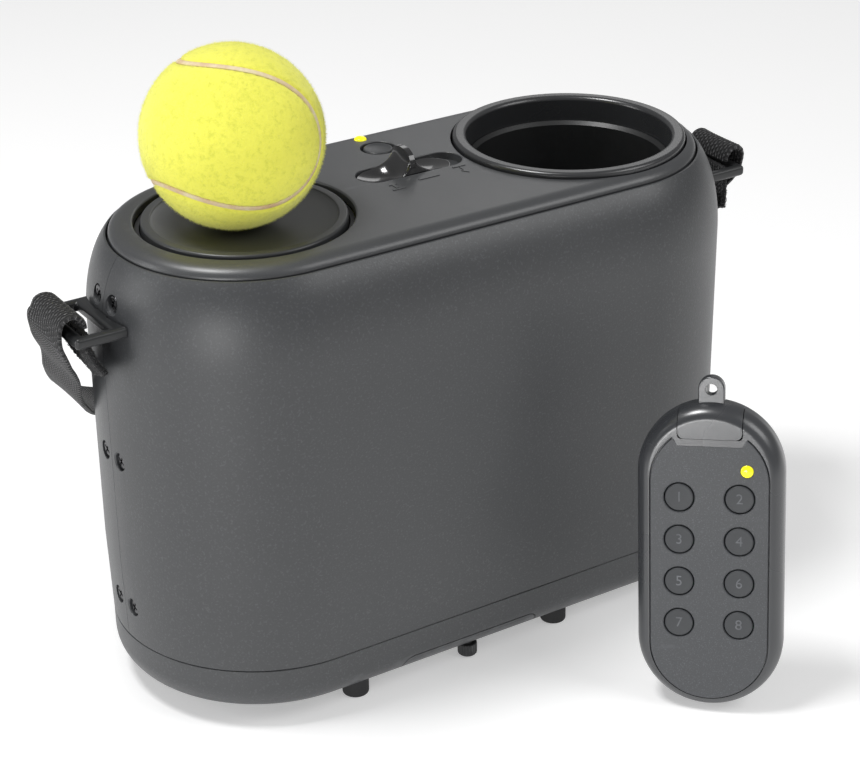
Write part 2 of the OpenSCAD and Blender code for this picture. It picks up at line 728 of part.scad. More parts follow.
module remote_face_plate() {
    color([0.2, 0.2, 0.21]) remote_place() difference() {
        slot(face_x, 0, face_r, remote_t - 1.2, remote_t);
        key_holes(key_r + 0.3);
        // Notch below the end cap, with slanted corners
        translate([0, 0, remote_t - 2]) linear_extrude(4)
            polygon([[104.7, -12], [107.6, -13.6], [125, -13.6], [125, 13.6], [107.6, 13.6], [104.7, 12]]);
    }
}

// Cap over the battery slide, with the loop for a key ring
module remote_end_cap() {
    color(dark_color) remote_place() difference() {
        union() {
            intersection() {
                translate([remote_mid, 0, 0]) obround(remote_front(-0.5), remote_half);
                block([cap_x, -cap_w, 0.1], [remote_l + 2, cap_w, remote_t + 3]);
            }
            translate([loop_x, 0, 0.4]) cylinder(r = 4.9, h = 4.2);
            block([remote_l - 4, -4.9, 0.4], [loop_x, 4.9, 4.6]);
        }
        remote_inside();
        translate([loop_x, 0, -1]) cylinder(r = 2.1, h = remote_t + 3);
    }
}

module remote_led_lens() {
    color("yellow") remote_place() translate([lamp_pos[0], lamp_pos[1], 0]) rotate_extrude()
        polygon(concat([[0, 3.4], [2.35, 3.4]], arc([0, remote_t + 0.2], 2.35, 0.8, 0, 90, 5)));
}

module remote_button(i) {
    row = floor((i - 1) / 2);
    color([0.15, 0.15, 0.16]) remote_place() translate([key_x[row], key_y[(i - 1) % 2], 0]) rotate_extrude()
        polygon([[0, 4.4], [key_r, 4.4], [key_r, remote_t - 0.1], [key_r - 0.5, remote_t + 0.3], [0, remote_t + 0.2]]);
}

module remote_board() {
    color("darkgreen") remote_place() {
        slot([28, 86], 0, 22, 0.4, 1.8);
        for (x = key_x, y = key_y) translate([x, y, 1.8]) cylinder(r = 3, h = 1.2);
    }
}

module remote_battery() {
    color(steel_color) remote_place() translate([84, 0, -4.6]) cylinder(r = 10, h = 3.2);
}

module remote_screws() {
    color(steel_color) remote_place() for (x = [16, 104], y = [-8, 8]) translate([x, y, -remote_back_t + 1.9]) {
        cylinder(r = 1.2, h = 5.6);
        cylinder(r = 2, h = 1.2);
    }
}

base_tray();
battery_door();
door_thumbscrew();
rubber_feet();
base_screws();
side_shell(-1);  // front_shell
side_shell(1);  // rear_shell
shell_screws();
end_bracket(-1);  // end_bracket_left
end_bracket(1);  // end_bracket_right
top_cover();
indicator_lens();
power_button();
power_switch();
selector_slider();
selector_switch();
control_board();
wiring_loom();
launch_tube();
rod_bush();
launch_spring();
launch_plate();
plunger_rod();
catch_collar();
release_servo();
servo_bracket();
release_latch();
drop_collar();
drop_tube();
drop_gate();
gate_hinge_pin();
gate_spring();
gate_magnet();
gate_striker();
battery_cells();
battery_cradle();
strap_loop(-1);  // strap_loop_left
strap_loop(1);  // strap_loop_right
carry_strap();
strap_tail(-1);  // strap_tail_left
strap_tail(1);  // strap_tail_right
ball_core();
tennis_ball();
remote_back_shell();
remote_front_shell();
remote_face_plate();
remote_end_cap();
remote_led_lens();
for (i = [1:8]) remote_button(i);
remote_board();
remote_battery();
remote_screws();
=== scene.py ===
import math
import bmesh
import bpy
import numpy as np
from mathutils import Matrix, Vector


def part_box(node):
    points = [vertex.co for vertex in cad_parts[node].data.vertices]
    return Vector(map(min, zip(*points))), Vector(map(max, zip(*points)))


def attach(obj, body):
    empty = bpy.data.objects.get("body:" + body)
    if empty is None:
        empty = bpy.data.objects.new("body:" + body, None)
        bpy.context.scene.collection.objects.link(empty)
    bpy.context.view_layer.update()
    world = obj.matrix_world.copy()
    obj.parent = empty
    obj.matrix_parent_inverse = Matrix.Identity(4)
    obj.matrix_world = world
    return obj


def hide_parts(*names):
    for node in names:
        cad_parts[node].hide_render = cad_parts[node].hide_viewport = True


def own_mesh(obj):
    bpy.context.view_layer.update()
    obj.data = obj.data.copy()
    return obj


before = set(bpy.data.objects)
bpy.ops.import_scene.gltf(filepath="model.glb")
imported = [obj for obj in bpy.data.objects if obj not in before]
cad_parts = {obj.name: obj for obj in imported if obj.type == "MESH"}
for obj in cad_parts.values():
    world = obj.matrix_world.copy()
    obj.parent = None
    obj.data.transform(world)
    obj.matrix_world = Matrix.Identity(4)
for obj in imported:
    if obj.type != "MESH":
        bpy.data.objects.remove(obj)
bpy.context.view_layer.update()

# ---------------------------------------------------------------------------
# Base tray
# The shallow pan under the casing, with a hole for the battery door and one for the ball's way out.
# Moulded in one shot from dark grey ABS with a fine eroded grain, and screwed up into the shells.
MM = 0.001


def box_mm(node):
    """Lowest and highest corner of a frame node, in millimetres."""
    low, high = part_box(node)
    return np.round(np.array(low) / MM, 2), np.round(np.array(high) / MM, 2)


def arc(across, up, semi_across, semi_up, start, stop, steps=8):
    """Points [radius, height] along an ellipse's arc between two angles in degrees."""
    turn = np.radians(np.linspace(start, stop, steps + 1))
    return [(across + semi_across * math.cos(t), up + semi_up * math.sin(t)) for t in turn]


def plan(radius, half, part, gap, steps):
    """Points around a plan with two round ends: all round, or its front or rear half."""
    turns = {"all": ((1, -90, 90), (-1, 90, 270)), "front": ((-1, 180, 270), (1, 270, 360)),
             "rear": ((1, 0, 90), (-1, 90, 180))}[part]
    points = []
    for side, start, stop in turns:
        for t in np.radians(np.linspace(start, stop, steps * (stop - start) // 90 + 1)):
            points.append((side * half + radius * math.cos(t), gap + radius * math.sin(t)))
    return points


def as_object(name, mesh):
    """A new object at the origin, holding a mesh or a bmesh."""
    if isinstance(mesh, bmesh.types.BMesh):
        made = bpy.data.meshes.new(name)
        mesh.to_mesh(made)
        mesh.free()
        mesh = made
    thing = bpy.data.objects.new(name, mesh)
    bpy.context.scene.collection.objects.link(thing)
    return thing


def moulded(name, outline, half=0.0, part="all", gap=0.0, steps=24, centre=(0, 0, 0)):
    """A solid whose cross-section is the outline [radius, height], swept round the plan."""
    bm = bmesh.new()
    grid = [[bm.verts.new((x, y, z)) for x, y in plan(r, half, part, gap, steps)] for r, z in outline]
    rows, columns = len(grid), len(grid[0])
    on_axis = outline[0][0] == 0 and outline[-1][0] == 0
    for i in range(rows - 1 if on_axis else rows):
        for j in range(columns if part == "all" else columns - 1):
            k, m = (i + 1) % rows, (j + 1) % columns
            bm.faces.new((grid[i][j], grid[i][m], grid[k][m], grid[k][j]))
    if part != "all":
        bm.faces.new([ring[0] for ring in grid])
        bm.faces.new([ring[-1] for ring in grid])
    bmesh.ops.remove_doubles(bm, verts=bm.verts, dist=1e-4)
    bmesh.ops.recalc_face_normals(bm, faces=bm.faces)
    bmesh.ops.translate(bm, verts=bm.verts, vec=centre)
    return as_object(name, bm)


def slab(name, outline, low, high):
    """A flat plate of the given outline [x, y] between two heights."""
    bm = bmesh.new()
    face = bm.faces.new([bm.verts.new((x, y, low)) for x, y in outline])
    grown = bmesh.ops.extrude_face_region(bm, geom=[face])
    up = [v for v in grown["geom"] if isinstance(v, bmesh.types.BMVert)]
    bmesh.ops.translate(bm, verts=up, vec=(0, 0, high - low))
    bmesh.ops.recalc_face_normals(bm, faces=bm.faces)
    return as_object(name, bm)


def brick(name, low, high):
    """A box between two corners."""
    return slab(name, [(low[0], low[1]), (high[0], low[1]), (high[0], high[1]), (low[0], high[1])],
                low[2], high[2])


def settle(thing):
    """Turns the object's modifiers into plain mesh."""
    graph = bpy.context.evaluated_depsgraph_get()
    made = bpy.data.meshes.new_from_object(thing.evaluated_get(graph), depsgraph=graph)
    old = thing.data
    thing.modifiers.clear()
    thing.data = made
    bpy.data.meshes.remove(old)
    return thing


def cut(thing, tools, how="DIFFERENCE"):
    """Cuts, adds or keeps what the tools cover, and takes the tools away."""
    for tool in tools:
        step = thing.modifiers.new("cut", "BOOLEAN")
        step.operation = how
        step.solver = "EXACT"
        step.object = tool
    settle(thing)
    for tool in tools:
        bpy.data.objects.remove(tool)
    return thing


def soften(thing, width, segments=2, angle=30):
    """Rounds the sharp edges."""
    step = thing.modifiers.new("edges", "BEVEL")
    step.width = width
    step.segments = segments
    step.limit_method = "ANGLE"
    step.angle_limit = math.radians(angle)
    return settle(thing)


def together(name, things):
    """One object made of several."""
    bm = bmesh.new()
    for thing in things:
        bm.from_mesh(thing.data)
        bpy.data.objects.remove(thing)
    return as_object(name, bm)


def complete(thing, body, material, stands_for=(), sharp=32, place=None):
    """Puts a piece drawn in millimetres in its place, in metres, with its finish and its body."""
    if place is not None:
        thing.data.transform(place)
    thing.data.transform(Matrix.Scale(MM, 4))
    thing.data.materials.clear()
    thing.data.materials.append(material)
    thing.data.shade_smooth()
    thing.data.set_sharp_from_angle(angle=math.radians(sharp))
    step = thing.modifiers.new("even shading", "WEIGHTED_NORMAL")
    step.keep_sharp = True
    settle(thing)
    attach(thing, body)
    if stands_for:
        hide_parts(*stands_for)
    return thing


def node(tree, kind, place=(0, 0), **settings):
    """A shader or geometry node with some of its settings."""
    made = tree.nodes.new(kind)
    made.location = place
    for name, value in settings.items():
        setattr(made, name, value)
    return made


def wire(tree, source, target):
    """Joins an output to an input, or sets the input to a plain value."""
    if isinstance(source, bpy.types.NodeSocket):
        tree.links.new(source, target)
    else:
        target.default_value = source


def math_node(tree, what, *values):
    """The output of a Math node."""
    made = node(tree, "ShaderNodeMath", operation=what)
    for value, socket in zip(values, made.inputs):
        wire(tree, value, socket)
    return made.outputs[0]


def ranged(tree, value, low, high, to_low, to_high):
    """The output of a Map Range node, held within its range."""
    made = node(tree, "ShaderNodeMapRange")
    for source, socket in zip((value, low, high, to_low, to_high), made.inputs):
        wire(tree, source, socket)
    return made.outputs[0]


def mixed(tree, share, one, other):
    """The colour between two colours."""
    made = node(tree, "ShaderNodeMix", data_type="RGBA")
    wire(tree, share, made.inputs["Factor"])
    wire(tree, one, made.inputs[6])
    wire(tree, other, made.inputs[7])
    return made.outputs[2]


def noise(tree, where, scale, detail=3.0, roughness=0.5):
    """The value of a Noise Texture."""
    made = node(tree, "ShaderNodeTexNoise")
    wire(tree, where, made.inputs["Vector"])
    made.inputs["Scale"].default_value = scale
    made.inputs["Detail"].default_value = detail
    made.inputs["Roughness"].default_value = roughness
    return made.outputs["Fac"]


def effect(name, inputs, outputs):
    """An empty shader node group and its inner input and output nodes."""
    tree = bpy.data.node_groups.new(name, "ShaderNodeTree")
    for label, value in inputs.items():
        socket = tree.interface.new_socket(label, in_out="INPUT", socket_type="NodeSocketFloat")
        socket.default_value = value
    for label in outputs:
        tree.interface.new_socket(label, in_out="OUTPUT", socket_type="NodeSocketFloat")
    return tree, node(tree, "NodeGroupInput", (-900, 0)), node(tree, "NodeGroupOutput", (700, 0))


def eroded_grain():
    """The pebbled surface that the mould leaves: its height, and a mask of small flecks where the grain's
    glints of light are painted in.
    """
    tree, given, result = effect("Eroded grain", {"Grain size": 0.6}, ("Height", "Painted glints"))
    where = node(tree, "ShaderNodeTexCoord").outputs["Object"]
    scaled = node(tree, "ShaderNodeVectorMath", operation="SCALE")
    wire(tree, where, scaled.inputs[0])
    wire(tree, math_node(tree, "DIVIDE", 1 / MM, given.outputs["Grain size"]), scaled.inputs["Scale"])
    cells = node(tree, "ShaderNodeTexVoronoi", feature="SMOOTH_F1")
    wire(tree, scaled.outputs[0], cells.inputs["Vector"])
    cells.inputs["Scale"].default_value = 1.0
    fine = noise(tree, scaled.outputs[0], 1.7, 2.0, 0.6)
    height = math_node(tree, "SUBTRACT", fine, math_node(tree, "MULTIPLY", cells.outputs["Distance"], 0.6))
    # Mask of flecks where glints of light on the grain are painted into the colour.
    painted_glints = ranged(tree, noise(tree, scaled.outputs[0], 0.9, 1.0), 0.56, 0.72, 0.0, 1.0)
    wire(tree, height, result.inputs["Height"])
    wire(tree, painted_glints, result.inputs["Painted glints"])
    return tree


def handling_marks():
    """Faint cloudy tone over a whole piece, and rubbed spots along its outer edges."""
    tree, given, result = effect("Handling marks", {"Cloud size": 60.0}, ("Cloud", "Rubbed"))
    where = node(tree, "ShaderNodeTexCoord").outputs["Object"]
    scaled = node(tree, "ShaderNodeVectorMath", operation="SCALE")
    wire(tree, where, scaled.inputs[0])
    wire(tree, math_node(tree, "DIVIDE", 1 / MM, given.outputs["Cloud size"]), scaled.inputs["Scale"])
    cloud = noise(tree, scaled.outputs[0], 1.0, 4.0, 0.55)
    wire(tree, ranged(tree, cloud, 0.3, 0.7, 0.0, 1.0), result.inputs["Cloud"])
    pointy = node(tree, "ShaderNodeNewGeometry").outputs["Pointiness"]
    edge = ranged(tree, pointy, 0.54, 0.66, 0.0, 1.0)
    spots = ranged(tree, noise(tree, scaled.outputs[0], 14.0, 3.0), 0.45, 0.65, 0.0, 1.0)
    wire(tree, math_node(tree, "MULTIPLY", edge, spots), result.inputs["Rubbed"])
    return tree


grain_effect = eroded_grain()
marks_effect = handling_marks()


def bare_material(name):
    """A material's tree, its Principled shader, and that shader joined to the output."""
    material = bpy.data.materials.new(name)
    material.use_nodes = True
    tree = material.node_tree
    tree.nodes.clear()
    shader = node(tree, "ShaderNodeBsdfPrincipled", (300, 0))
    wire(tree, shader.outputs["BSDF"], node(tree, "ShaderNodeOutputMaterial", (600, 0)).inputs["Surface"])
    return material, tree, shader


def placed_effect(tree, group, **values):
    """A node group in a material, with its own values."""
    made = node(tree, "ShaderNodeGroup", (-600, 0), node_tree=group)
    for label, value in values.items():
        made.inputs[label.replace("_", " ").capitalize()].default_value = value
    return made


def shade(colour, factor):
    """A colour made lighter or darker."""
    return tuple(min(1.0, c * factor) for c in colour[:3]) + (1.0,)


def plastic(name, colour, rough, grain=0.6, depth=0.03, glint_lift=1.25, cloud=0.06, cloud_size=60.0,
            rub=1.5, coat=0.0, coat_rough=0.1, specular=0.5):
    """A moulded plastic: grain bump, painted glints as lighter flecks in the colour, cloudy tone, rubbed
    edges.
    """
    material, tree, shader = bare_material(name)
    surface = placed_effect(tree, grain_effect, grain_size=grain)
    marks = placed_effect(tree, marks_effect, cloud_size=cloud_size)
    tone = mixed(tree, marks.outputs["Cloud"], shade(colour, 1 - cloud), shade(colour, 1 + cloud))
    # Painted highlight: small lighter flecks in the base colour stand for the grain's glints.
    with_painted_glints = mixed(tree, surface.outputs["Painted glints"], tone, shade(colour, glint_lift))
    wire(tree, mixed(tree, marks.outputs["Rubbed"], with_painted_glints, shade(colour, rub)),
         shader.inputs["Base Color"])
    wire(tree, ranged(tree, marks.outputs["Cloud"], 0.0, 1.0, rough - 0.03, rough + 0.04),
         shader.inputs["Roughness"])
    bump = node(tree, "ShaderNodeBump")
    bump.inputs["Distance"].default_value = depth * MM
    wire(tree, surface.outputs["Height"], bump.inputs["Height"])
    wire(tree, bump.outputs["Normal"], shader.inputs["Normal"])
    shader.inputs["Coat Weight"].default_value = coat
    shader.inputs["Coat Roughness"].default_value = coat_rough
    shader.inputs["Specular IOR Level"].default_value = specular
    return material


case_colour = (0.046, 0.048, 0.051)
case_plastic = plastic("case_plastic", case_colour, 0.4, grain=0.75, depth=0.05, glint_lift=1.5,
                       specular=0.6)
shell_low, shell_high = box_mm("front_shell")
END_R = -shell_low[1]
END_X = shell_high[0] - END_R
UNDERSIDE = box_mm("battery_door")[0][2]
COVER_TOP = box_mm("top_cover")[1][2]
WALL = 3.0
BASE_SEAM = 26.0
BASE_R = END_R - 1
TRAY_FLOOR = UNDERSIDE + WALL
FIT_GAP = 0.2
SEAM_ROUND = 0.45
exit_r = box_mm("drop_gate")[1][1] + 0.9
door_low, door_high = box_mm("battery_door")
DOOR_REAR = 25.8
DOOR_CORNER = 4.3


def tray_shape(name):
    """The tray as moulded, before its holes are cut."""
    semi_across, semi_up = 11.5, 12.0
    outside = arc(BASE_R - semi_across, UNDERSIDE + semi_up, semi_across, semi_up, -90, 0, 14)
    inside = arc(BASE_R - semi_across, UNDERSIDE + semi_up, semi_across - WALL, semi_up - WALL, 0, -90, 10)
    lip = [(BASE_R - 3.4, BASE_SEAM + 3), (BASE_R - 5.1, BASE_SEAM + 3), (BASE_R - 5.1, BASE_SEAM - 4),
           (BASE_R - WALL, BASE_SEAM - 4)]
    rim = arc(BASE_R - SEAM_ROUND, BASE_SEAM - SEAM_ROUND, SEAM_ROUND, SEAM_ROUND, 0, 90, 4)
    outline = ([(0, UNDERSIDE)] + outside + rim + [(BASE_R - 3.4, BASE_SEAM)] + lip + inside
               + [(0, TRAY_FLOOR)])
    return moulded(name, outline, END_X, steps=32)


def door_block(name, grow):
    """The room that the battery door takes out of the tray, grown all round."""
    left, right, top = door_low[0] - grow, door_high[0] + grow, door_high[2] + grow
    bend = DOOR_CORNER + grow
    corners = arc(right - bend, top - bend, bend, bend, 0, 90, 8)
    corners += arc(left + bend, top - bend, bend, bend, 90, 180, 8)
    rear = DOOR_REAR + grow
    made = slab(name, [(left, 0), (right, 0)] + corners, 0, rear + END_R + 1)
    made.data.transform(Matrix.Translation((0, rear, 0)) @ Matrix.Rotation(math.pi / 2, 4, "X"))
    return made


def rod(name, centre, radius, low, high, steps=12):
    """An upright round bar."""
    return moulded(name, [(0, low), (radius, low), (radius, high), (0, high)], steps=steps,
                   centre=(centre[0], centre[1], 0))


foot_places = [(x, side * y) for x, y in ((-59.5, 48), (34.7, 47), (105.5, 33)) for side in (-1, 1)]
FOOT_R = 5.2
tray = cut(tray_shape("base_tray_moulding"), [
    door_block("door room", 2 * FIT_GAP),
    together("holes", [rod("foot hole", p, FOOT_R + FIT_GAP, 0, TRAY_FLOOR - 0.4) for p in foot_places]),
    rod("way out", (END_X, 0), exit_r, 0, 40, 32),
    brick("tab slot", (26.9, -6.6, 0), (35, 6.6, 13)),
    brick("hinge slot", (END_X + 38, -6.4, 0), (END_X + 46.9, 6.4, TRAY_FLOOR + 0.6))])
soften(tray, 0.3, 2, 50)
complete(tray, "casing", case_plastic, ["base_tray"])

# ---------------------------------------------------------------------------
# Battery door
# The panel that wraps round the tray's lower front edge and closes the battery bay.
# Same grained ABS; its round rear edge turns in the tray and a thumbscrew holds it in front.
thumb_x, thumb_y = (box_mm("door_thumbscrew")[0][:2] + box_mm("door_thumbscrew")[1][:2]) / 2
door_axis_y = DOOR_REAR - WALL / 2
door = cut(tray_shape("battery_door_panel"), [door_block("door size", 0.0)], "INTERSECT")
cut(door, [brick("behind", (-60, door_axis_y, 0), (40, 40, 40)),
           rod("screw hole", (thumb_x, thumb_y), 2.3, 0, 20)])
rear_edge = rod("rear edge", (0, 0), WALL / 2, door_low[0], door_high[0], 6)
rear_edge.data.transform(Matrix.Translation((0, door_axis_y, UNDERSIDE + WALL / 2))
                         @ Matrix.Rotation(math.pi / 2, 4, "Y"))
cut(door, [rear_edge] + [brick("tongue", (x, door_axis_y - 2.5, TRAY_FLOOR + 0.2),
                               (x + 6, DOOR_REAR + 2.6, TRAY_FLOOR + 2))
                         for x in (-34, 8)], "UNION")
soften(door, 0.3, 2, 50)
complete(door, "door", case_plastic, ["battery_door"])

# ---------------------------------------------------------------------------
# Feet and door thumbscrew
# Six push-in rubber feet, each moulded with a bevelled tread, and the knurled screw of the battery door.
# The feet are soft black rubber; the screw is turned by hand, so its rim is ribbed all round.


def group_input(tree, label, kind, value=None):
    """A named input of a geometry tree."""
    socket = tree.interface.new_socket(label, in_out="INPUT", socket_type=kind)
    if value is not None:
        socket.default_value = value
    return socket


def geometry_tree(name, inputs):
    """An empty geometry tree with its input and output nodes."""
    tree = bpy.data.node_groups.new(name, "GeometryNodeTree")
    group_input(tree, "Geometry", "NodeSocketGeometry")
    for label, kind in inputs.items():
        group_input(tree, label, kind)
    tree.interface.new_socket("Geometry", in_out="OUTPUT", socket_type="NodeSocketGeometry")
    return tree, node(tree, "NodeGroupInput", (-900, 0)), node(tree, "NodeGroupOutput", (900, 0))


def real_and_finished(tree, given, shapes, result):
    """Ends a geometry tree: real geometry with its material."""
    real = node(tree, "GeometryNodeRealizeInstances", (500, 0))
    painted = node(tree, "GeometryNodeSetMaterial", (700, 0))
    wire(tree, shapes, real.inputs["Geometry"])
    wire(tree, real.outputs["Geometry"], painted.inputs["Geometry"])
    wire(tree, given.outputs["Material"], painted.inputs["Material"])
    wire(tree, painted.outputs["Geometry"], result.inputs["Geometry"])


def grow(thing, tree, **values):
    """Runs a geometry tree on an object with the given inputs, and keeps the result as plain mesh."""
    step = thing.modifiers.new(tree.name, "NODES")
    step.node_group = tree
    sockets = {item.name: item.identifier for item in tree.interface.items_tree if item.in_out == "INPUT"}
    for label, value in values.items():
        step[sockets[label.replace("_", " ").capitalize()]] = value
    return settle(thing)


def set_pieces_tree():
    """One part set on every point, turned by the point's own angles."""
    tree, given, result = geometry_tree("Set on points", {
        "Part": "NodeSocketObject", "Material": "NodeSocketMaterial"})
    part = node(tree, "GeometryNodeObjectInfo", (-500, -200))
    wire(tree, given.outputs["Part"], part.inputs["Object"])
    turn = node(tree, "GeometryNodeInputNamedAttribute", (-700, -400), data_type="FLOAT_VECTOR")
    turn.inputs["Name"].default_value = "turn"
    angles = node(tree, "FunctionNodeEulerToRotation", (-400, -400))
    wire(tree, turn.outputs["Attribute"], angles.inputs["Euler"])
    copies = node(tree, "GeometryNodeInstanceOnPoints", (0, 0))
    wire(tree, given.outputs["Geometry"], copies.inputs["Points"])
    wire(tree, part.outputs["Geometry"], copies.inputs["Instance"])
    wire(tree, angles.outputs["Rotation"], copies.inputs["Rotation"])
    real_and_finished(tree, given, copies.outputs["Instances"], result)
    return tree


set_on_points = set_pieces_tree()


def set_pieces(name, part, places, material):
    """Copies of a part at places (x, y, z, turn x, turn y, turn z), joined as one mesh."""
    mesh = bpy.data.meshes.new(name)
    mesh.from_pydata([p[:3] for p in places], [], [])
    turns = mesh.attributes.new("turn", "FLOAT_VECTOR", "POINT")
    turns.data.foreach_set("vector", np.array([p[3:] for p in places], np.float32).ravel())
    copies = grow(as_object(name, mesh), set_on_points, part=part, material=material)
    bpy.data.objects.remove(part)
    return copies


rubber = plastic("black_rubber", (0.02, 0.02, 0.021), 0.78, grain=0.4, depth=0.03, cloud=0.15, rub=2.2)
foot_top = TRAY_FLOOR - 0.7
foot = moulded("foot", [(0, 0.35), (3.0, 0.35), (3.3, 0.0), (FOOT_R - 0.9, 0.0)]
               + arc(FOOT_R - 0.8, 0.8, 0.8, 0.8, -90, 0, 4)
               + [(FOOT_R, foot_top - 0.2), (FOOT_R - 0.2, foot_top), (0, foot_top)], steps=12)
feet = set_pieces("feet", foot, [(x, y, 0, 0, 0, 0) for x, y in foot_places], rubber)
complete(feet, "casing", rubber, ["rubber_feet"])

screw_plastic = plastic("screw_plastic", (0.026, 0.027, 0.028), 0.38, grain=0.35, depth=0.012, rub=2.5)
thumb_top = UNDERSIDE - 0.2
thumb = moulded("door_thumbscrew_turned", [(0, 0.9), (2.6, 0.9), (3.0, 0.65), (3.35, 0.65), (3.6, 0.95),
                                           (3.6, thumb_top), (2, thumb_top), (2, 20.5), (0, 20.5)],
                centre=(thumb_x, thumb_y, 0))
rib = moulded("rib", [(0, 0.9), (0.32, 1.1), (0.32, thumb_top - 0.2), (0, thumb_top)], steps=3)
rib_places = [(thumb_x + 3.58 * math.cos(t), thumb_y + 3.58 * math.sin(t), 0, 0, 0, t)
              for t in np.linspace(0, 2 * math.pi, 20, endpoint=False)]
coin_slot = brick("coin slot", (thumb_x - 2.2, thumb_y - 0.35, 0), (thumb_x + 2.2, thumb_y + 0.35, 1.5))
cut(thumb, [coin_slot])
thumbscrew = together("door_thumbscrew_knurled",
                      [thumb, set_pieces("ribs", rib, rib_places, screw_plastic)])
complete(thumbscrew, "thumbscrew", screw_plastic, ["door_thumbscrew"])

# ---------------------------------------------------------------------------
# Side shells
# Two tall halves, front and rear, which meet in a hairline seam down the middle of each end.
# Injection-moulded ABS with the same grain; pairs of screws along the seam pull them onto two uprights.
SHOULDER_Z = 150.0
SHOULDER_W = 16.0
COVER_SEAM = COVER_TOP - 4
OPENING_R = END_R - 9.3
LEDGE_R = END_R - 12.4
shoulder_h = COVER_TOP - SHOULDER_Z
shell_stop = math.degrees(math.asin((COVER_SEAM - 0.35 - SHOULDER_Z) / shoulder_h))
inner_stop = math.degrees(math.asin((COVER_SEAM - 2.6 - SHOULDER_Z) / (shoulder_h - WALL)))
SCREW_ROWS = (41, 104, 167)
SCREW_Y = 6.0
LOOP_Z = (box_mm("strap_loop_left")[0][2] + box_mm("strap_loop_left")[1][2]) / 2


def wall_radius(height):
    """Outside radius of the side shells at a height."""
    if height > SHOULDER_Z:
        rise = (height - SHOULDER_Z) / shoulder_h
        return END_R - SHOULDER_W + SHOULDER_W * math.sqrt(1 - rise ** 2)
    return min(END_R, BASE_R + (height - BASE_SEAM) / 34)


def end_tools(name, profile):
    """A turned tool on every screw's place, lying along the end's outward direction."""
    tools = []
    for side in (-1, 1):
        for height in SCREW_ROWS:
            for y in (-SCREW_Y, SCREW_Y):
                tool = moulded(name, profile, steps=8)
                across = math.sqrt(wall_radius(height) ** 2 - SCREW_Y ** 2)
                tool.data.transform(Matrix.Translation((side * (END_X + across), y, height))
                                    @ Matrix.Rotation(-math.pi / 2 * side, 4, "Y"))
                tools.append(tool)
    return together(name, tools)


def shell_half(name, part, gap):
    """One half of the side shell, front or rear."""
    outside = arc(END_R - SHOULDER_W, SHOULDER_Z, SHOULDER_W, shoulder_h, 0, shell_stop, 26)
    inside = arc(END_R - SHOULDER_W, SHOULDER_Z, SHOULDER_W - WALL, shoulder_h - WALL, inner_stop, 0, 16)
    foot_edge = arc(BASE_R - SEAM_ROUND, BASE_SEAM + 0.2 + SEAM_ROUND, SEAM_ROUND, SEAM_ROUND, -90, 0, 4)
    top_edge = [(outside[-1][0] - 0.16, COVER_SEAM - 0.12), (OPENING_R + 0.12, COVER_SEAM),
                (OPENING_R, COVER_SEAM - 0.14), (OPENING_R, COVER_SEAM - 4), (LEDGE_R, COVER_SEAM - 4),
                (LEDGE_R, COVER_SEAM - 5.1), (inside[0][0], COVER_SEAM - 5.1)]
    outline = [(BASE_R - WALL, BASE_SEAM + 0.2)] + foot_edge + [(END_R, 60)] + outside + top_edge
    outline += [p for p in inside if p[1] < COVER_SEAM - 5.2] + [(END_R - WALL, 60)]
    return moulded(name, outline, END_X, part, gap, steps=36)


for shell_name, part, gap, frame_name in (("front_shell_moulding", "front", -0.09, "front_shell"),
                                          ("rear_shell_moulding", "rear", 0.09, "rear_shell")):
    shell = shell_half(shell_name, part, gap)
    pocket = [(0, -3), (4.1, -3), (4.1, -0.35), (3.75, 0.0), (3.5, 0.25), (3.5, 1.7), (0, 1.7)]
    slots = [brick("tongue slot", (side * (END_X + END_R) - 10, -4.2, LOOP_Z - 2.2),
                   (side * (END_X + END_R) + 10, 4.2, LOOP_Z + 2.2)) for side in (-1, 1)]
    cut(shell, [end_tools("screw pocket", pocket),
                end_tools("screw hole", [(0, 1), (1.7, 1), (1.7, 9), (0, 9)])]
        + slots)
    complete(shell, "casing", case_plastic, [frame_name])

# ---------------------------------------------------------------------------
# Shell screws
# Twelve cross-head screws sit in pockets along the end seams.
# Steel with a black finish that is worn bright round the cross.


def metal(name, colour, rough, brushed=0.25, worn=None, coat=0.0):
    """A metal with fine scratches, cloudy tone and rubbed edges."""
    material, tree, shader = bare_material(name)
    marks = placed_effect(tree, marks_effect, cloud_size=14.0)
    where = node(tree, "ShaderNodeTexCoord").outputs["Object"]
    stretched = node(tree, "ShaderNodeMapping")
    wire(tree, where, stretched.inputs["Vector"])
    stretched.inputs["Scale"].default_value = (260, 2600, 900)
    lines = noise(tree, stretched.outputs[0], 1.0, 2.0)
    tone = mixed(tree, marks.outputs["Cloud"], shade(colour, 0.86), shade(colour, 1.1))
    wire(tree, mixed(tree, marks.outputs["Rubbed"], tone, (*(worn or colour), 1.0)),
         shader.inputs["Base Color"])
    wire(tree, ranged(tree, lines, 0.3, 0.7, rough * (1 - brushed), rough * (1 + brushed)),
         shader.inputs["Roughness"])
    bump = node(tree, "ShaderNodeBump")
    bump.inputs["Distance"].default_value = 0.006 * MM
    wire(tree, lines, bump.inputs["Height"])
    wire(tree, bump.outputs["Normal"], shader.inputs["Normal"])
    shader.inputs["Metallic"].default_value = 1.0
    shader.inputs["Coat Weight"].default_value = coat
    return material


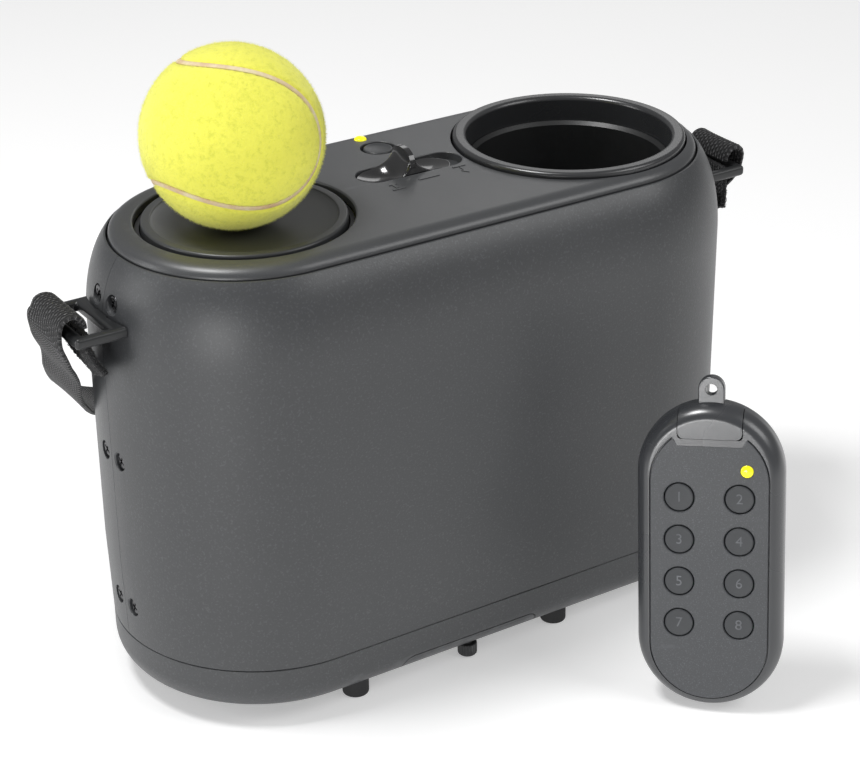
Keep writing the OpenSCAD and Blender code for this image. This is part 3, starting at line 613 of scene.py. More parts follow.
black_steel = metal("blackened_steel", (0.09, 0.09, 0.095), 0.3, 0.3, worn=(0.35, 0.35, 0.36))
screw_head = moulded("screw head", [(0, 0.75), (2.2, 0.78)] + arc(2.5, 1.3, 0.6, 0.5, -80, 0, 4)
                     + [(3.1, 1.5), (1.3, 1.5), (1.3, 8), (0, 8)], steps=8)
cross = cut(brick("cross", (-1.9, -0.42, 0), (1.9, 0.42, 1.35)),
            [brick("bar", (-0.42, -1.9, 0), (0.42, 1.9, 1.35))],
            "UNION")
cut(screw_head, [cross])
screw_places = []
for side in (-1, 1):
    for height in SCREW_ROWS:
        for y in (-SCREW_Y, SCREW_Y):
            across = math.sqrt(wall_radius(height) ** 2 - SCREW_Y ** 2)
            turned = 0.35 + 0.9 * height + 0.4 * y
            turn = (Matrix.Rotation(-math.pi / 2 * side, 4, "Y")
                    @ Matrix.Rotation(turned, 4, "Z")).to_euler()
            screw_places.append((side * (END_X + across), y, height, *turn))
screws = set_pieces("shell_screws_turned", screw_head, screw_places, black_steel)
complete(screws, "casing", black_steel, ["shell_screws"])

# ---------------------------------------------------------------------------
# Top cover
# The lid drops into the shells' opening and carries the controls, the launch opening and the collar.
# Moulded ABS, polished a little smoother than the shells, with raised arrows beside the selector.
cover_plastic = plastic("cover_plastic", (0.05, 0.052, 0.055), 0.35, grain=0.5, depth=0.02, glint_lift=1.22,
                        specular=0.7)
COVER_R = END_R - 10
plate_r = box_mm("launch_plate")[1][1]
collar_r = box_mm("drop_collar")[1][1]
lens_centre = sum(box_mm("indicator_lens"))[:2] / 2
button_centre = sum(box_mm("power_button"))[:2] / 2
SLOT_X = (-12.7, 17.7)
SLOT_R = 7.5
slider_y = (sum(box_mm("selector_slider")) / 2)[1]
RECESS_Z = COVER_TOP - 3


def lipped_hole(name, radius, bend, floor, centre, half=0.0):
    """A tool that cuts a hole down to floor, with a rounded upper edge."""
    mouth = arc(radius + bend, COVER_TOP - bend, bend, bend, 180, 90, 5)
    outline = [(0, floor), (radius, floor)] + mouth + [(radius + bend, COVER_TOP + 1), (0, COVER_TOP + 1)]
    return moulded(name, outline, half, centre=(centre[0], centre[1], 0))


def arrow(name, tip, tail, width, head, low, high):
    """A flat arrow between two points."""
    ahead = Vector((tip[0] - tail[0], tip[1] - tail[1])).normalized()
    aside = Vector((-ahead.y, ahead.x))
    tip, tail = Vector(tip), Vector(tail)
    neck = tip - ahead * head
    outline = [tail - aside * width / 2, neck - aside * width / 2, neck - aside * head * 0.62, tip,
               neck + aside * head * 0.62, neck + aside * width / 2, tail + aside * width / 2]
    return slab(name, [tuple(p) for p in outline], low, high)


cover_edge = arc(END_R - SHOULDER_W, COVER_SEAM, SHOULDER_W - 10, COVER_TOP - COVER_SEAM, 0, 90, 14)
cover = moulded("top_cover_moulding",
                [(0, COVER_TOP - WALL), (COVER_R - 2.5, COVER_TOP - WALL),
                 (COVER_R - 2.5, COVER_SEAM - 3.8), (COVER_R, COVER_SEAM - 3.8)]
                + cover_edge + [(0, COVER_TOP)], END_X, steps=36)
deck = brick("control deck", (-25, -4, RECESS_Z - 4), (25, 46, COVER_TOP - 1))
cut(cover, [deck], "UNION")
slot_middle = (sum(SLOT_X) / 2, slider_y)
cut(cover, [
    lipped_hole("launcher opening", plate_r + 2.5, 0.9, 170, (-END_X, 0)),
    lipped_hole("collar opening", collar_r + 0.7, 0.5, 170, (END_X, 0)),
    lipped_hole("selector recess", SLOT_R, 0.35, RECESS_Z, slot_middle, (SLOT_X[1] - SLOT_X[0]) / 2)])
cut(cover, [
    lipped_hole("button recess", 7.0, 0.4, COVER_TOP - 2, button_centre),
    lipped_hole("lens hole", 2.6, 0.35, 170, lens_centre),
    brick("stem slot", (-4, slider_y - 2, 170), (9, slider_y + 2, RECESS_Z + 0.5))])
cut(cover, [rod("button hole", button_centre, 6.05, 170, COVER_TOP - 1)])
ICON_LOW, ICON_HIGH = COVER_TOP - 0.3, COVER_TOP + 0.28
icons = together("icons", [
    arrow("launch arrow", (-12.4, -2.9), (-12.4, -9.3), 1.3, 3.0, ICON_LOW, ICON_HIGH),
    slab("launch base", [(-15.2, -10.9), (-9.6, -10.9), (-9.6, -9.9), (-15.2, -9.9)], ICON_LOW, ICON_HIGH),
    slab("dash", [(-1.5, -7.2), (7.6, -7.2), (7.6, -6.1), (-1.5, -6.1)], ICON_LOW, ICON_HIGH),
    arrow("drop arrow", (18.6, -10.9), (18.6, -4.5), 1.3, 3.0, ICON_LOW, ICON_HIGH),
    slab("drop rim", [(15.8, -3.9), (21.4, -3.9), (21.4, -2.9), (15.8, -2.9)], ICON_LOW, ICON_HIGH)])
soften(icons, 0.12, 2)
cut(cover, [icons], "UNION")
complete(cover, "casing", cover_plastic, ["top_cover"])

# ---------------------------------------------------------------------------
# Indicator lens and power button
# A yellow lamp lens stands just proud of the cover beside the round button that switches the machine on.
# The lens is clear-tinted acrylic over a diode; the button is moulded with a shallow finger dish.


def lamp(name, colour, glow):
    """Tinted lens plastic, lit from behind, with a fine speckle in its tone and glow."""
    material, tree, shader = bare_material(name)
    where = node(tree, "ShaderNodeTexCoord").outputs["Object"]
    speckle = ranged(tree, noise(tree, where, 1600.0, 2.0), 0.3, 0.7, 0.86, 1.0)
    wire(tree, mixed(tree, speckle, shade(colour, 0.8), (*colour, 1.0)), shader.inputs["Base Color"])
    wire(tree, mixed(tree, speckle, shade(colour, 0.75), (*colour, 1.0)), shader.inputs["Emission Color"])
    wire(tree, ranged(tree, speckle, 0.86, 1.0, 0.16, 0.1), shader.inputs["Roughness"])
    shader.inputs["Emission Strength"].default_value = glow
    shader.inputs["Coat Weight"].default_value = 0.5
    return material


lamp_yellow = lamp("lamp_yellow", (0.9, 0.83, 0.01), 0.55)
lens = moulded("indicator_lens_dome", [(0, COVER_TOP - 8), (2.5, COVER_TOP - 8)]
               + arc(0, COVER_TOP - 0.2, 2.5, 1.3, 0, 90, 10), centre=(*lens_centre, 0), steps=16)
complete(lens, "casing", lamp_yellow, ["indicator_lens"])

button_plastic = plastic("button_plastic", (0.04, 0.042, 0.045), 0.34, grain=0.4, depth=0.012, glint_lift=1.15)
button = moulded("power_button_cap", [(0, 177.5), (6.8, 177.5), (6.8, 178.7), (5.85, 178.7)]
                 + arc(5.25, COVER_TOP - 0.6, 0.6, 0.6, 0, 110, 6)
                 + [(4.4, COVER_TOP - 0.28), (3.2, COVER_TOP - 0.46), (1.6, COVER_TOP - 0.57),
                    (0, COVER_TOP - 0.6)],
                 centre=(*button_centre, 0), steps=16)
complete(button, "power_key", button_plastic, ["power_button"])

# ---------------------------------------------------------------------------
# Mode selector
# A sliding plate with a curved thumb fin: a scoop on each side, one turned half round from the other.
# Moulded in glossy black ABS; its stem goes down through the cover to the mode switch.
gloss_black = plastic("gloss_black", (0.017, 0.017, 0.018), 0.16, grain=3.0, depth=0.01, glint_lift=1.1,
                      rub=3.0, coat=0.8, coat_rough=0.06)
slider_low, slider_high = box_mm("selector_slider")
SLIDER_R = 7.2
SLIDER_EDGE = 0.4
fin_height = slider_high[2] - (RECESS_Z + 2.2)
slider_mid = (slider_low[0] + slider_high[0]) / 2
slider_half = (slider_high[0] - slider_low[0]) / 2


def fin_rise(along, across):
    """Height of the thumb fin over the plate, 0 to 1, at a place along and across (-1 to 1) the plate."""
    crest = 1.1
    left = 6.5 + 5.0 * across + 5.5 * across ** 2
    right = 6.5 - 5.0 * across + 5.5 * across ** 2
    reach = left if along < 0 else right
    t = min(1.0, max(0.0, (reach + crest - abs(along)) / reach))
    scoop = 1 - math.sqrt(max(0.0, 1 - t * t))
    round_top = math.sqrt(max(0.0, 1 - min(1.0, abs(across)) ** 2.6)) * 0.62 + 0.38
    return scoop * round_top


def slider_top(along, across, inset):
    """Height of the slider's upper face, with its dished scoops and rounded rim."""
    rise = fin_rise(along, across) * fin_height
    spread = abs(along) / slider_half
    dish = 1.5 * (1 - across ** 2) * math.sin(math.pi * min(1.0, max(0.0, (spread - 0.12) / 0.88))) ** 0.8
    rim = min(1.0, max(0.0, 1 - inset / SLIDER_EDGE))
    return RECESS_Z + 2.2 + rise - dish - SLIDER_EDGE * (1 - math.sqrt(1 - rim ** 2))


def slider_body(name):
    """The slider as a grid over its round-ended plan, closed by a skirt and a flat underside."""
    ends = slider_half - SLIDER_R
    turns = np.sin(np.linspace(-math.pi / 2, math.pi / 2, 41))
    straight = np.linspace(-ends, ends, 121)
    columns = list(-ends - SLIDER_R * (1 - np.linspace(0, 1, 25)[:-1] ** 1.5)) + list(straight)
    columns += [-c for c in reversed(columns[:24])]
    bm = bmesh.new()
    tops, walls = [], []
    for along in columns:
        over = max(0.0, abs(along) - ends)
        width = math.sqrt(max(0.0, SLIDER_R ** 2 - over ** 2))
        row = []
        for turn in turns:
            y = width * turn
            reach = math.hypot(over, y)
            row.append(bm.verts.new((along, y, slider_top(along, y / SLIDER_R, SLIDER_R - reach))))
        tops.append(row)
        walls.append([bm.verts.new((along, width * s, RECESS_Z + FIT_GAP)) for s in (-1, 1)])
    for i in range(len(columns) - 1):
        for j in range(len(turns) - 1):
            bm.faces.new((tops[i][j], tops[i + 1][j], tops[i + 1][j + 1], tops[i][j + 1]))
        bm.faces.new((walls[i][0], walls[i + 1][0], tops[i + 1][0], tops[i][0]))
        bm.faces.new((tops[i][-1], tops[i + 1][-1], walls[i + 1][1], walls[i][1]))
        bm.faces.new((walls[i][1], walls[i + 1][1], walls[i + 1][0], walls[i][0]))
    bmesh.ops.remove_doubles(bm, verts=bm.verts, dist=1e-3)
    bmesh.ops.recalc_face_normals(bm, faces=bm.faces)
    bmesh.ops.translate(bm, verts=bm.verts, vec=(slider_mid, slider_y, 0))
    return as_object(name, bm)


stem = brick("stem", (slider_mid - 3, slider_y - 1.4, 174),
             (slider_mid + 3, slider_y + 1.4, RECESS_Z + 0.4))
slider = together("selector_slider_grip", [slider_body("grip"), stem])
complete(slider, "selector", gloss_black, ["selector_slider"], sharp=48)

# ---------------------------------------------------------------------------
# Launch plate
# The round plate that throws the ball: a raised rim, a groove inside it and a shallow dish for the ball.
# Moulded nylon with a matt grain, pressed onto the plunger's steel rod.
PLATE_UNDER = box_mm("launch_plate")[0][2] + 9
RIM_TOP = COVER_TOP + 0.2
DISH_Z = COVER_TOP - 1.6
plate_plastic = plastic("plate_plastic", (0.05, 0.052, 0.055), 0.33, grain=0.5, depth=0.018, glint_lift=1.2)
plate = moulded("launch_plate_moulding",
                [(0, PLATE_UNDER - 9), (9, PLATE_UNDER - 9), (9, PLATE_UNDER), (plate_r - 0.2, PLATE_UNDER),
                 (plate_r, PLATE_UNDER + 0.2)]
                + arc(plate_r - 1.1, RIM_TOP - 1.1, 1.1, 1.1, 0, 90, 8)
                + arc(plate_r - 3.2, RIM_TOP - 0.45, 0.6, 0.45, 90, 170, 5)
                + [(plate_r - 4.6, RIM_TOP - 0.72), (30, DISH_Z + 0.62), (24, DISH_Z + 0.34),
                   (18, DISH_Z + 0.13), (12, DISH_Z), (0, DISH_Z)],
                centre=(-END_X, 0, 0), steps=32)
complete(plate, "plunger", plate_plastic, ["launch_plate"])

# ---------------------------------------------------------------------------
# Drop collar and drop tube
# A flanged collar trims the hole where a ball is loaded, and the tube below guides it down to the gate.
# Both are black moulded ABS: the collar satin, the tube a little duller inside.
collar_plastic = plastic("collar_plastic", (0.028, 0.029, 0.031), 0.27, grain=0.45, depth=0.012, glint_lift=1.15,
                         specular=0.75)
tube_plastic = plastic("tube_plastic", (0.014, 0.0145, 0.015), 0.42, grain=0.8, depth=0.03, cloud=0.2)
collar_top = box_mm("drop_collar")[1][2]
collar_in = exit_r - 0.2
collar = moulded("drop_collar_moulding",
                 [(collar_in, 170), (collar_in + 2.2, 170), (collar_in + 2.2, COVER_TOP - 5.5),
                  (collar_r, COVER_TOP - 5.5)]
                 + arc(collar_r - 1.5, collar_top - 1.5, 1.5, 1.5, 0, 90, 10)
                 + arc(collar_in + 1.8, collar_top - 1.8, 1.8, 1.8, 90, 180, 10),
                 centre=(END_X, 0, 0), steps=32)
complete(collar, "casing", collar_plastic, ["drop_collar"])

DROP_R = 38.0
tube_top = box_mm("drop_tube")[1][2]
tube_floor = box_mm("drop_tube")[0][2]
tube = moulded("drop_tube_moulding",
               [(DROP_R, tube_floor), (DROP_R + 2.1, tube_floor), (DROP_R + 2.1, tube_top - 0.2),
                (DROP_R + 1.9, tube_top), (DROP_R + 1.4, tube_top), (DROP_R, tube_top - 1.4)],
               centre=(END_X, 0, 0), steps=32)
cut(tube, [brick("gate notch", (END_X - 46, -7, 0), (END_X - 37, 7, 21.2))])
complete(tube, "casing", tube_plastic, ["drop_tube"])

# ---------------------------------------------------------------------------
# Strap loops
# A flat rectangular loop on each end, which the strap's end is threaded through.
# Moulded nylon, its tongue trapped between the two shells.
loop_plastic = plastic("loop_plastic", (0.02, 0.021, 0.022), 0.32, grain=0.5, depth=0.015, rub=2.5)
for side, side_name in ((-1, "left"), (1, "right")):
    inner, outer = END_X + END_R - 4, END_X + END_R + 17
    ring = brick("ring", (inner, -17, LOOP_Z - 2.2), (outer, 17, LOOP_Z + 2.2))
    cut(ring, [brick("eye", (inner + 7, -13.4, LOOP_Z - 4), (outer - 4, 13.4, LOOP_Z + 4))])
    soften(ring, 1.5, 4)
    cut(ring, [rod("casing wall", (END_X, 0), END_R - 0.05, LOOP_Z - 5, LOOP_Z + 5, 32)])
    tongue = soften(brick("tongue", (inner - 4, -4, LOOP_Z - 2), (inner + 5, 4, LOOP_Z + 2)), 0.3)
    cut(ring, [tongue], "UNION")
    ring.name = "strap_loop_" + side_name + "_ring"
    turned = Matrix.Scale(side, 4, (1, 0, 0))
    ring.data.transform(turned)
    if side < 0:
        ring.data.flip_normals()
    complete(ring, "casing", loop_plastic, ["strap_loop_" + side_name], sharp=40)

# ---------------------------------------------------------------------------
# Carry strap
# A length of 25 mm ribbed webbing that hangs behind the casing from loop to loop.
# Woven from black nylon; each end goes over its loop's outer bar and hangs down fuzzy inside it.
STRAP_W = 25.0
STRAP_T = 2.2
RIB_PITCH = 1.56
strap_route = ((-143.6, 0, 163.6, 90), (-144, 0, 166, 90), (-146.6, 0, 168.6, 90),
               (-150.2, 0.3, 168.2, 90), (-152.2, 1, 165, 90), (-152.2, 3, 158.5, 90),
               (-148, 10, 148, 90), (-141.6, 20, 136, 90), (-134.5, 34, 120, 90), (-123, 53, 104, 90),
               (-107, 68, 91, 90), (-84, 76, 81, 90), (-56, 79, 74, 90), (-28, 80, 70, 90),
               (0, 80, 68.5, 90))
tail_route = ((-143.2, 0, 161.4, 90), (-143, 0, 156.5, 90), (-140.8, -2.5, 149.5, 90),
              (-136.8, -6.5, 142, 90))


def smooth_route(points, pitch):
    """Even steps along a smooth curve through the points."""
    p = np.array(points, float)
    p = np.vstack([2 * p[0] - p[1], p, 2 * p[-1] - p[-2]])
    fine = []
    for a, b, c, d in zip(p, p[1:], p[2:], p[3:]):
        for t in np.linspace(0, 1, 24, endpoint=False):
            fine.append(0.5 * (2 * b + (c - a) * t + (2 * a - 5 * b + 4 * c - d) * t ** 2
                               + (3 * b - a - 3 * c + d) * t ** 3))
    fine = np.array(fine + [p[-2]])
    run = np.concatenate([[0], np.cumsum(np.linalg.norm(np.diff(fine[:, :3], axis=0), axis=1))])
    even = np.linspace(0, run[-1], max(2, int(run[-1] / pitch)) + 1)
    return np.stack([np.interp(even, run, fine[:, k]) for k in range(4)], 1), even


def webbing_frames(route):
    """For each step: the sideways and outward directions of the webbing."""
    along = np.gradient(route[:, :3], axis=0)
    along /= np.linalg.norm(along, axis=1)[:, None]
    turn = np.radians(route[:, 3])
    across = np.stack([np.cos(turn), np.sin(turn), 0 * turn], 1)
    out = np.cross(along, across)
    out /= np.linalg.norm(out, axis=1)[:, None]
    return np.cross(out, along), out


def webbing(name, points, width, pitch=1.5, wave=0.22):
    """Ribbed webbing along a route, with UVs in millimetres across and along it."""
    route, run = smooth_route(points, pitch)
    aside, out = webbing_frames(route)
    count = int(width / RIB_PITCH * 3)
    across = np.linspace(-width / 2, width / 2, count + 1)
    edge = np.clip((width / 2 - np.abs(across)) / 1.1, 0, 1)
    thick = STRAP_T / 2 * np.sqrt(1 - (1 - edge) ** 2 * 0.85)
    ribs = wave * (np.cos(2 * math.pi * across / RIB_PITCH) - 1) * edge
    profile = [(w, t + r) for w, t, r in zip(across, thick, ribs)]
    profile += [(w, -t - r) for w, t, r in reversed(list(zip(across, thick, ribs)))]
    bm = bmesh.new()
    layer = bm.loops.layers.uv.new("webbing")
    rings = []
    for centre, s, o in zip(route[:, :3], aside, out):
        rings.append([bm.verts.new(centre + s * w + o * t) for w, t in profile])
    size = len(profile)
    for i in range(len(rings) - 1):
        for j in range(size):
            k = (j + 1) % size
            face = bm.faces.new((rings[i][j], rings[i + 1][j], rings[i + 1][k], rings[i][k]))
            places = ((j, i), (j, i + 1), (k, i + 1), (k, i))
            for loop, (q, r) in zip(face.loops, places):
                loop[layer].uv = (profile[q][0], run[r])
    for ring in (rings[0], rings[-1]):
        cap = bm.faces.new(ring)
        for loop in cap.loops:
            loop[layer].uv = (0, 0)
    bmesh.ops.recalc_face_normals(bm, faces=bm.faces)
    return as_object(name, bm)


def woven(name, colour, light, speckle):
    """Nylon webbing: picks across the ribs, painted glints on the yarn (the light colour, up to the speckle
    share), dusty tone along its length.
    """
    material, tree, shader = bare_material(name)
    place = node(tree, "ShaderNodeUVMap", uv_map="webbing")
    split = node(tree, "ShaderNodeSeparateXYZ")
    wire(tree, place.outputs["UV"], split.inputs[0])
    column = math_node(tree, "DIVIDE", split.outputs["X"], RIB_PITCH)
    nearest = math_node(tree, "FLOOR", math_node(tree, "ADD", column, 0.5))
    stagger = math_node(tree, "MULTIPLY", nearest, 0.5)
    pick = math_node(tree, "ADD", math_node(tree, "DIVIDE", split.outputs["Y"], 1.9), stagger)
    picks = math_node(tree, "SINE", math_node(tree, "MULTIPLY", pick, 2 * math.pi))
    ribs = math_node(tree, "COSINE", math_node(tree, "MULTIPLY", column, 2 * math.pi))
    weave = math_node(tree, "MULTIPLY", ranged(tree, picks, -1, 1, 0.25, 1.0),
                      ranged(tree, ribs, -1, 1, 0.0, 1.0))
    stretched = node(tree, "ShaderNodeMapping")
    wire(tree, place.outputs["UV"], stretched.inputs["Vector"])
    stretched.inputs["Scale"].default_value = (3.0, 1.4, 1)
    yarn = noise(tree, stretched.outputs[0], 1.6, 4.0, 0.7)
    marks = placed_effect(tree, marks_effect, cloud_size=40.0)
    base = mixed(tree, marks.outputs["Cloud"], shade(colour, 0.8), shade(colour, 1.25))
    # Painted highlight: yarn tops on the ribs are coloured toward the light colour as glints.
    painted_glint = math_node(tree, "MULTIPLY", ranged(tree, yarn, 0.5, 0.66, 0.0, 1.0),
                      ranged(tree, weave, 0.45, 0.85, 0.0, speckle))
    wire(tree, mixed(tree, painted_glint, base, (*light, 1.0)), shader.inputs["Base Color"])
    wire(tree, ranged(tree, weave, 0.0, 1.0, 0.9, 0.6), shader.inputs["Roughness"])
    bump = node(tree, "ShaderNodeBump")
    bump.inputs["Distance"].default_value = 0.3 * MM
    wire(tree, math_node(tree, "ADD", weave, math_node(tree, "MULTIPLY", yarn, 0.5)), bump.inputs["Height"])
    wire(tree, bump.outputs["Normal"], shader.inputs["Normal"])
    shader.inputs["Sheen Weight"].default_value = 0.25
    shader.inputs["Sheen Roughness"].default_value = 0.4
    return material


def fibre_tree():
    """Fibres scattered over a surface where its nap attribute allows, leaning at random."""
    tree, given, result = geometry_tree("Fibres", {
        "Part": "NodeSocketObject", "Density": "NodeSocketFloat", "Lean": "NodeSocketFloat",
        "Shortest": "NodeSocketFloat", "Seed": "NodeSocketInt", "Material": "NodeSocketMaterial"})
    nap = node(tree, "GeometryNodeInputNamedAttribute", data_type="FLOAT")
    nap.inputs["Name"].default_value = "nap"
    many = math_node(tree, "MULTIPLY", nap.outputs["Attribute"], given.outputs["Density"])
    spots = node(tree, "GeometryNodeDistributePointsOnFaces", distribute_method="RANDOM")
    wire(tree, given.outputs["Geometry"], spots.inputs["Mesh"])
    wire(tree, many, spots.inputs["Density"])
    wire(tree, given.outputs["Seed"], spots.inputs["Seed"])
    tilt = node(tree, "FunctionNodeRandomValue", data_type="FLOAT_VECTOR")
    low, high = node(tree, "ShaderNodeCombineXYZ"), node(tree, "ShaderNodeCombineXYZ")
    for axis, sign, target in (("X", -1, low), ("Y", -1, low), ("X", 1, high), ("Y", 1, high)):
        wire(tree, math_node(tree, "MULTIPLY", given.outputs["Lean"], sign), target.inputs[axis])
    low.inputs["Z"].default_value, high.inputs["Z"].default_value = -math.pi, math.pi
    wire(tree, low.outputs[0], tilt.inputs["Min"])
    wire(tree, high.outputs[0], tilt.inputs["Max"])
    wire(tree, given.outputs["Seed"], tilt.inputs["Seed"])
    angles = node(tree, "FunctionNodeEulerToRotation")
    wire(tree, tilt.outputs["Value"], angles.inputs["Euler"])
    turned = node(tree, "FunctionNodeRotateRotation", rotation_space="LOCAL")
    wire(tree, spots.outputs["Rotation"], turned.inputs["Rotation"])
    wire(tree, angles.outputs["Rotation"], turned.inputs["Rotate By"])
    size = node(tree, "FunctionNodeRandomValue", data_type="FLOAT")
    wire(tree, given.outputs["Shortest"], size.inputs[2])
    size.inputs[3].default_value = 1.0
    wire(tree, given.outputs["Seed"], size.inputs["Seed"])
    part = node(tree, "GeometryNodeObjectInfo")
    wire(tree, given.outputs["Part"], part.inputs["Object"])
    copies = node(tree, "GeometryNodeInstanceOnPoints")
    wire(tree, spots.outputs["Points"], copies.inputs["Points"])
    wire(tree, part.outputs["Geometry"], copies.inputs["Instance"])
    wire(tree, turned.outputs["Rotation"], copies.inputs["Rotation"])
    wire(tree, size.outputs[1], copies.inputs["Scale"])
    real_and_finished(tree, given, copies.outputs["Instances"], result)
    return tree


fibres = fibre_tree()


def napped(name, surface, nap, part, material, density, lean, shortest, seed):
    """Fibres over a copy of a surface, thinned by the nap of each vertex."""
    ground = as_object(name, surface.data.copy())
    share = ground.data.attributes.new("nap", "FLOAT", "POINT")
    share.data.foreach_set("value", np.asarray(nap, np.float32))
    hair = grow(ground, fibres, part=part, density=density, lean=lean, shortest=shortest, seed=seed,
                material=material)
    bpy.data.objects.remove(part)
    return hair


def hair(name, length, radius, bend):
    """One three-sided tapering hair whose tip leans over."""
    bm = bmesh.new()
    foot = [bm.verts.new((radius * math.cos(a), radius * math.sin(a), 0))
            for a in np.linspace(0, 2 * math.pi, 3, endpoint=False)]
    tip = bm.verts.new((bend, 0, length))
    for j in range(3):
        bm.faces.new((foot[j], foot[(j + 1) % 3], tip))
    return as_object(name, bm)


def curl(name, width, thick, steps=6, sides=3):
    """One small loop of yarn standing on the surface."""
    bm = bmesh.new()
    rings = []
    for a in np.linspace(-0.3, math.pi + 0.3, steps):
        out = Vector((math.cos(a), 0, math.sin(a)))
        ring = []
        for b in np.linspace(0, 2 * math.pi, sides, endpoint=False):
            ring.append(bm.verts.new(out * (width / 2 + thick * math.cos(b))
                                     + Vector((0, thick * math.sin(b), 0))))
        rings.append(ring)
    for i in range(steps - 1):
        for j in range(sides):
            k = (j + 1) % sides
            bm.faces.new((rings[i][j], rings[i + 1][j], rings[i + 1][k], rings[i][k]))
    bmesh.ops.recalc_face_normals(bm, faces=bm.faces)
    return as_object(name, bm)


# In both webbings the light colour and its share are painted glints on the yarn.
nylon_webbing = woven("nylon_webbing", (0.008, 0.008, 0.009), (0.42, 0.42, 0.43), 0.75)
loop_yarn = woven("loop_yarn", (0.05, 0.05, 0.052), (0.4, 0.4, 0.4), 0.6)


def mirrored(points):
    """The same route on the right end, from its far end back."""
    return [(-x, y, z, 180 - turn) for x, y, z, turn in reversed(points)]


strap = webbing("carry_strap_webbing", list(strap_route) + mirrored(strap_route[:-1]), STRAP_W)
complete(strap, "casing", nylon_webbing, ["carry_strap"], sharp=70)
for side_name, route, seed in (("left", tail_route, 3), ("right", mirrored(tail_route), 4)):
    tail = webbing("strap_tail_" + side_name + "_webbing", list(route), STRAP_W - 1, wave=0.1)
    hooks = napped("strap_tail_" + side_name + "_nap", tail, np.ones(len(tail.data.vertices)),
                   curl("curl", 1.0, 0.1), loop_yarn, 1.9, 0.9, 0.55, seed)
    complete(tail, "casing", nylon_webbing, ["strap_tail_" + side_name], sharp=70)
    complete(hooks, "casing", loop_yarn, sharp=180)

# ---------------------------------------------------------------------------
# Tennis ball
# A pressureless training ball: a rubber core covered with two figure-of-eight panels of yellow felt.
# The felt is raised nylon and wool; between the panels runs a seam of pale rubber.
ball_low, ball_high = box_mm("tennis_ball")
ball_centre = Vector((ball_low + ball_high) / 2)
BALL_R = (ball_high[0] - ball_low[0]) / 2
SEAM_BEND = 0.17
SEAM_HALF = 1.15
ball_turn = Matrix.Rotation(math.radians(-69.7), 3, "Z") @ Matrix.Rotation(math.radians(-52.1), 3, "Y") \
    @ Matrix.Rotation(math.radians(54.8), 3, "X")


def seam_points(count):
    """Directions along the ball's seam, a closed wave that crosses the equator four times."""
    t = np.linspace(0, 2 * math.pi, count, endpoint=False)
    a, b = 1 - SEAM_BEND, SEAM_BEND
    wave = np.stack([a * np.cos(t) + b * np.cos(3 * t), a * np.sin(t) - b * np.sin(3 * t),
                     2 * math.sqrt(a * b) * np.sin(2 * t)], 1)
    return wave @ np.array(ball_turn).T


def felt(name, colour, shadow):
    """Ball felt: tufts with painted shade in the hollows between them, soft uneven tone and a little sheen.
    """
    material, tree, shader = bare_material(name)
    where = node(tree, "ShaderNodeTexCoord").outputs["Object"]
    tufts = noise(tree, where, 420.0, 5.0, 0.72)
    patches = noise(tree, where, 60.0, 3.0, 0.6)
    tone = mixed(tree, ranged(tree, patches, 0.3, 0.7, 0.0, 1.0), shade(colour, 0.97), shade(colour, 1.02))
    # Painted shade: the hollows between tufts are coloured toward the shadow colour.
    wire(tree, mixed(tree, ranged(tree, tufts, 0.34, 0.5, 0.45, 0.0), tone, (*shadow, 1.0)),
         shader.inputs["Base Color"])
    wire(tree, ranged(tree, tufts, 0.3, 0.7, 0.95, 0.85), shader.inputs["Roughness"])
    bump = node(tree, "ShaderNodeBump")
    bump.inputs["Distance"].default_value = 0.5 * MM
    wire(tree, tufts, bump.inputs["Height"])
    wire(tree, bump.outputs["Normal"], shader.inputs["Normal"])
    shader.inputs["Sheen Weight"].default_value = 0.5
    shader.inputs["Sheen Roughness"].default_value = 0.5
    shader.inputs["Sheen Tint"].default_value = (0.95, 1.0, 0.6, 1.0)
    shader.inputs["Specular IOR Level"].default_value = 0.2
    return material


def seam_rubber():
    """Pale rubber at the bottom of the seam, a little grubby along its length."""
    material, tree, shader = bare_material("seam_rubber")
    where = node(tree, "ShaderNodeTexCoord").outputs["Object"]
    grime = ranged(tree, noise(tree, where, 120.0, 4.0, 0.65), 0.35, 0.65, 0.0, 1.0)
    wire(tree, mixed(tree, grime, (0.78, 0.68, 0.45, 1.0), (0.62, 0.42, 0.25, 1.0)),
         shader.inputs["Base Color"])
    wire(tree, ranged(tree, grime, 0.0, 1.0, 0.6, 0.75), shader.inputs["Roughness"])
    bump = node(tree, "ShaderNodeBump")
    bump.inputs["Distance"].default_value = 0.15 * MM
    wire(tree, noise(tree, where, 900.0, 3.0), bump.inputs["Height"])
    wire(tree, bump.outputs["Normal"], shader.inputs["Normal"])
    return material


yellow_felt = felt("yellow_felt", (0.9, 0.88, 0.12), (0.58, 0.6, 0.05))
yellow_nap = felt("yellow_nap", (0.95, 0.93, 0.2), (0.78, 0.78, 0.1))
bm = bmesh.new()
bmesh.ops.create_icosphere(bm, subdivisions=6, radius=BALL_R)
directions = np.array([v.co for v in bm.verts]) / BALL_R
path = seam_points(720)
nearest = np.degrees(np.arccos(np.clip((directions @ path.T).max(1), -1, 1))) * math.pi / 180 * BALL_R
groove = np.clip(1 - (nearest - SEAM_HALF * 0.6) / 1.3, 0, 1)
groove = groove * groove * (3 - 2 * groove)
for vert, depth in zip(bm.verts, groove):
    vert.co = vert.co * (1 - 1.0 * depth / BALL_R)
bmesh.ops.translate(bm, verts=bm.verts, vec=ball_centre)
ball = as_object("tennis_ball_felt", bm)
nap_share = np.clip((nearest - SEAM_HALF * 0.95) / 0.5, 0, 1)
nap = napped("tennis_ball_nap", ball, nap_share, hair("hair", 1.15, 0.075, 0.3), yellow_nap,
             1.9, 0.75, 0.35, 1)
complete(ball, "ball", yellow_felt, ["tennis_ball"], sharp=180)
complete(nap, "ball", yellow_nap, sharp=180)

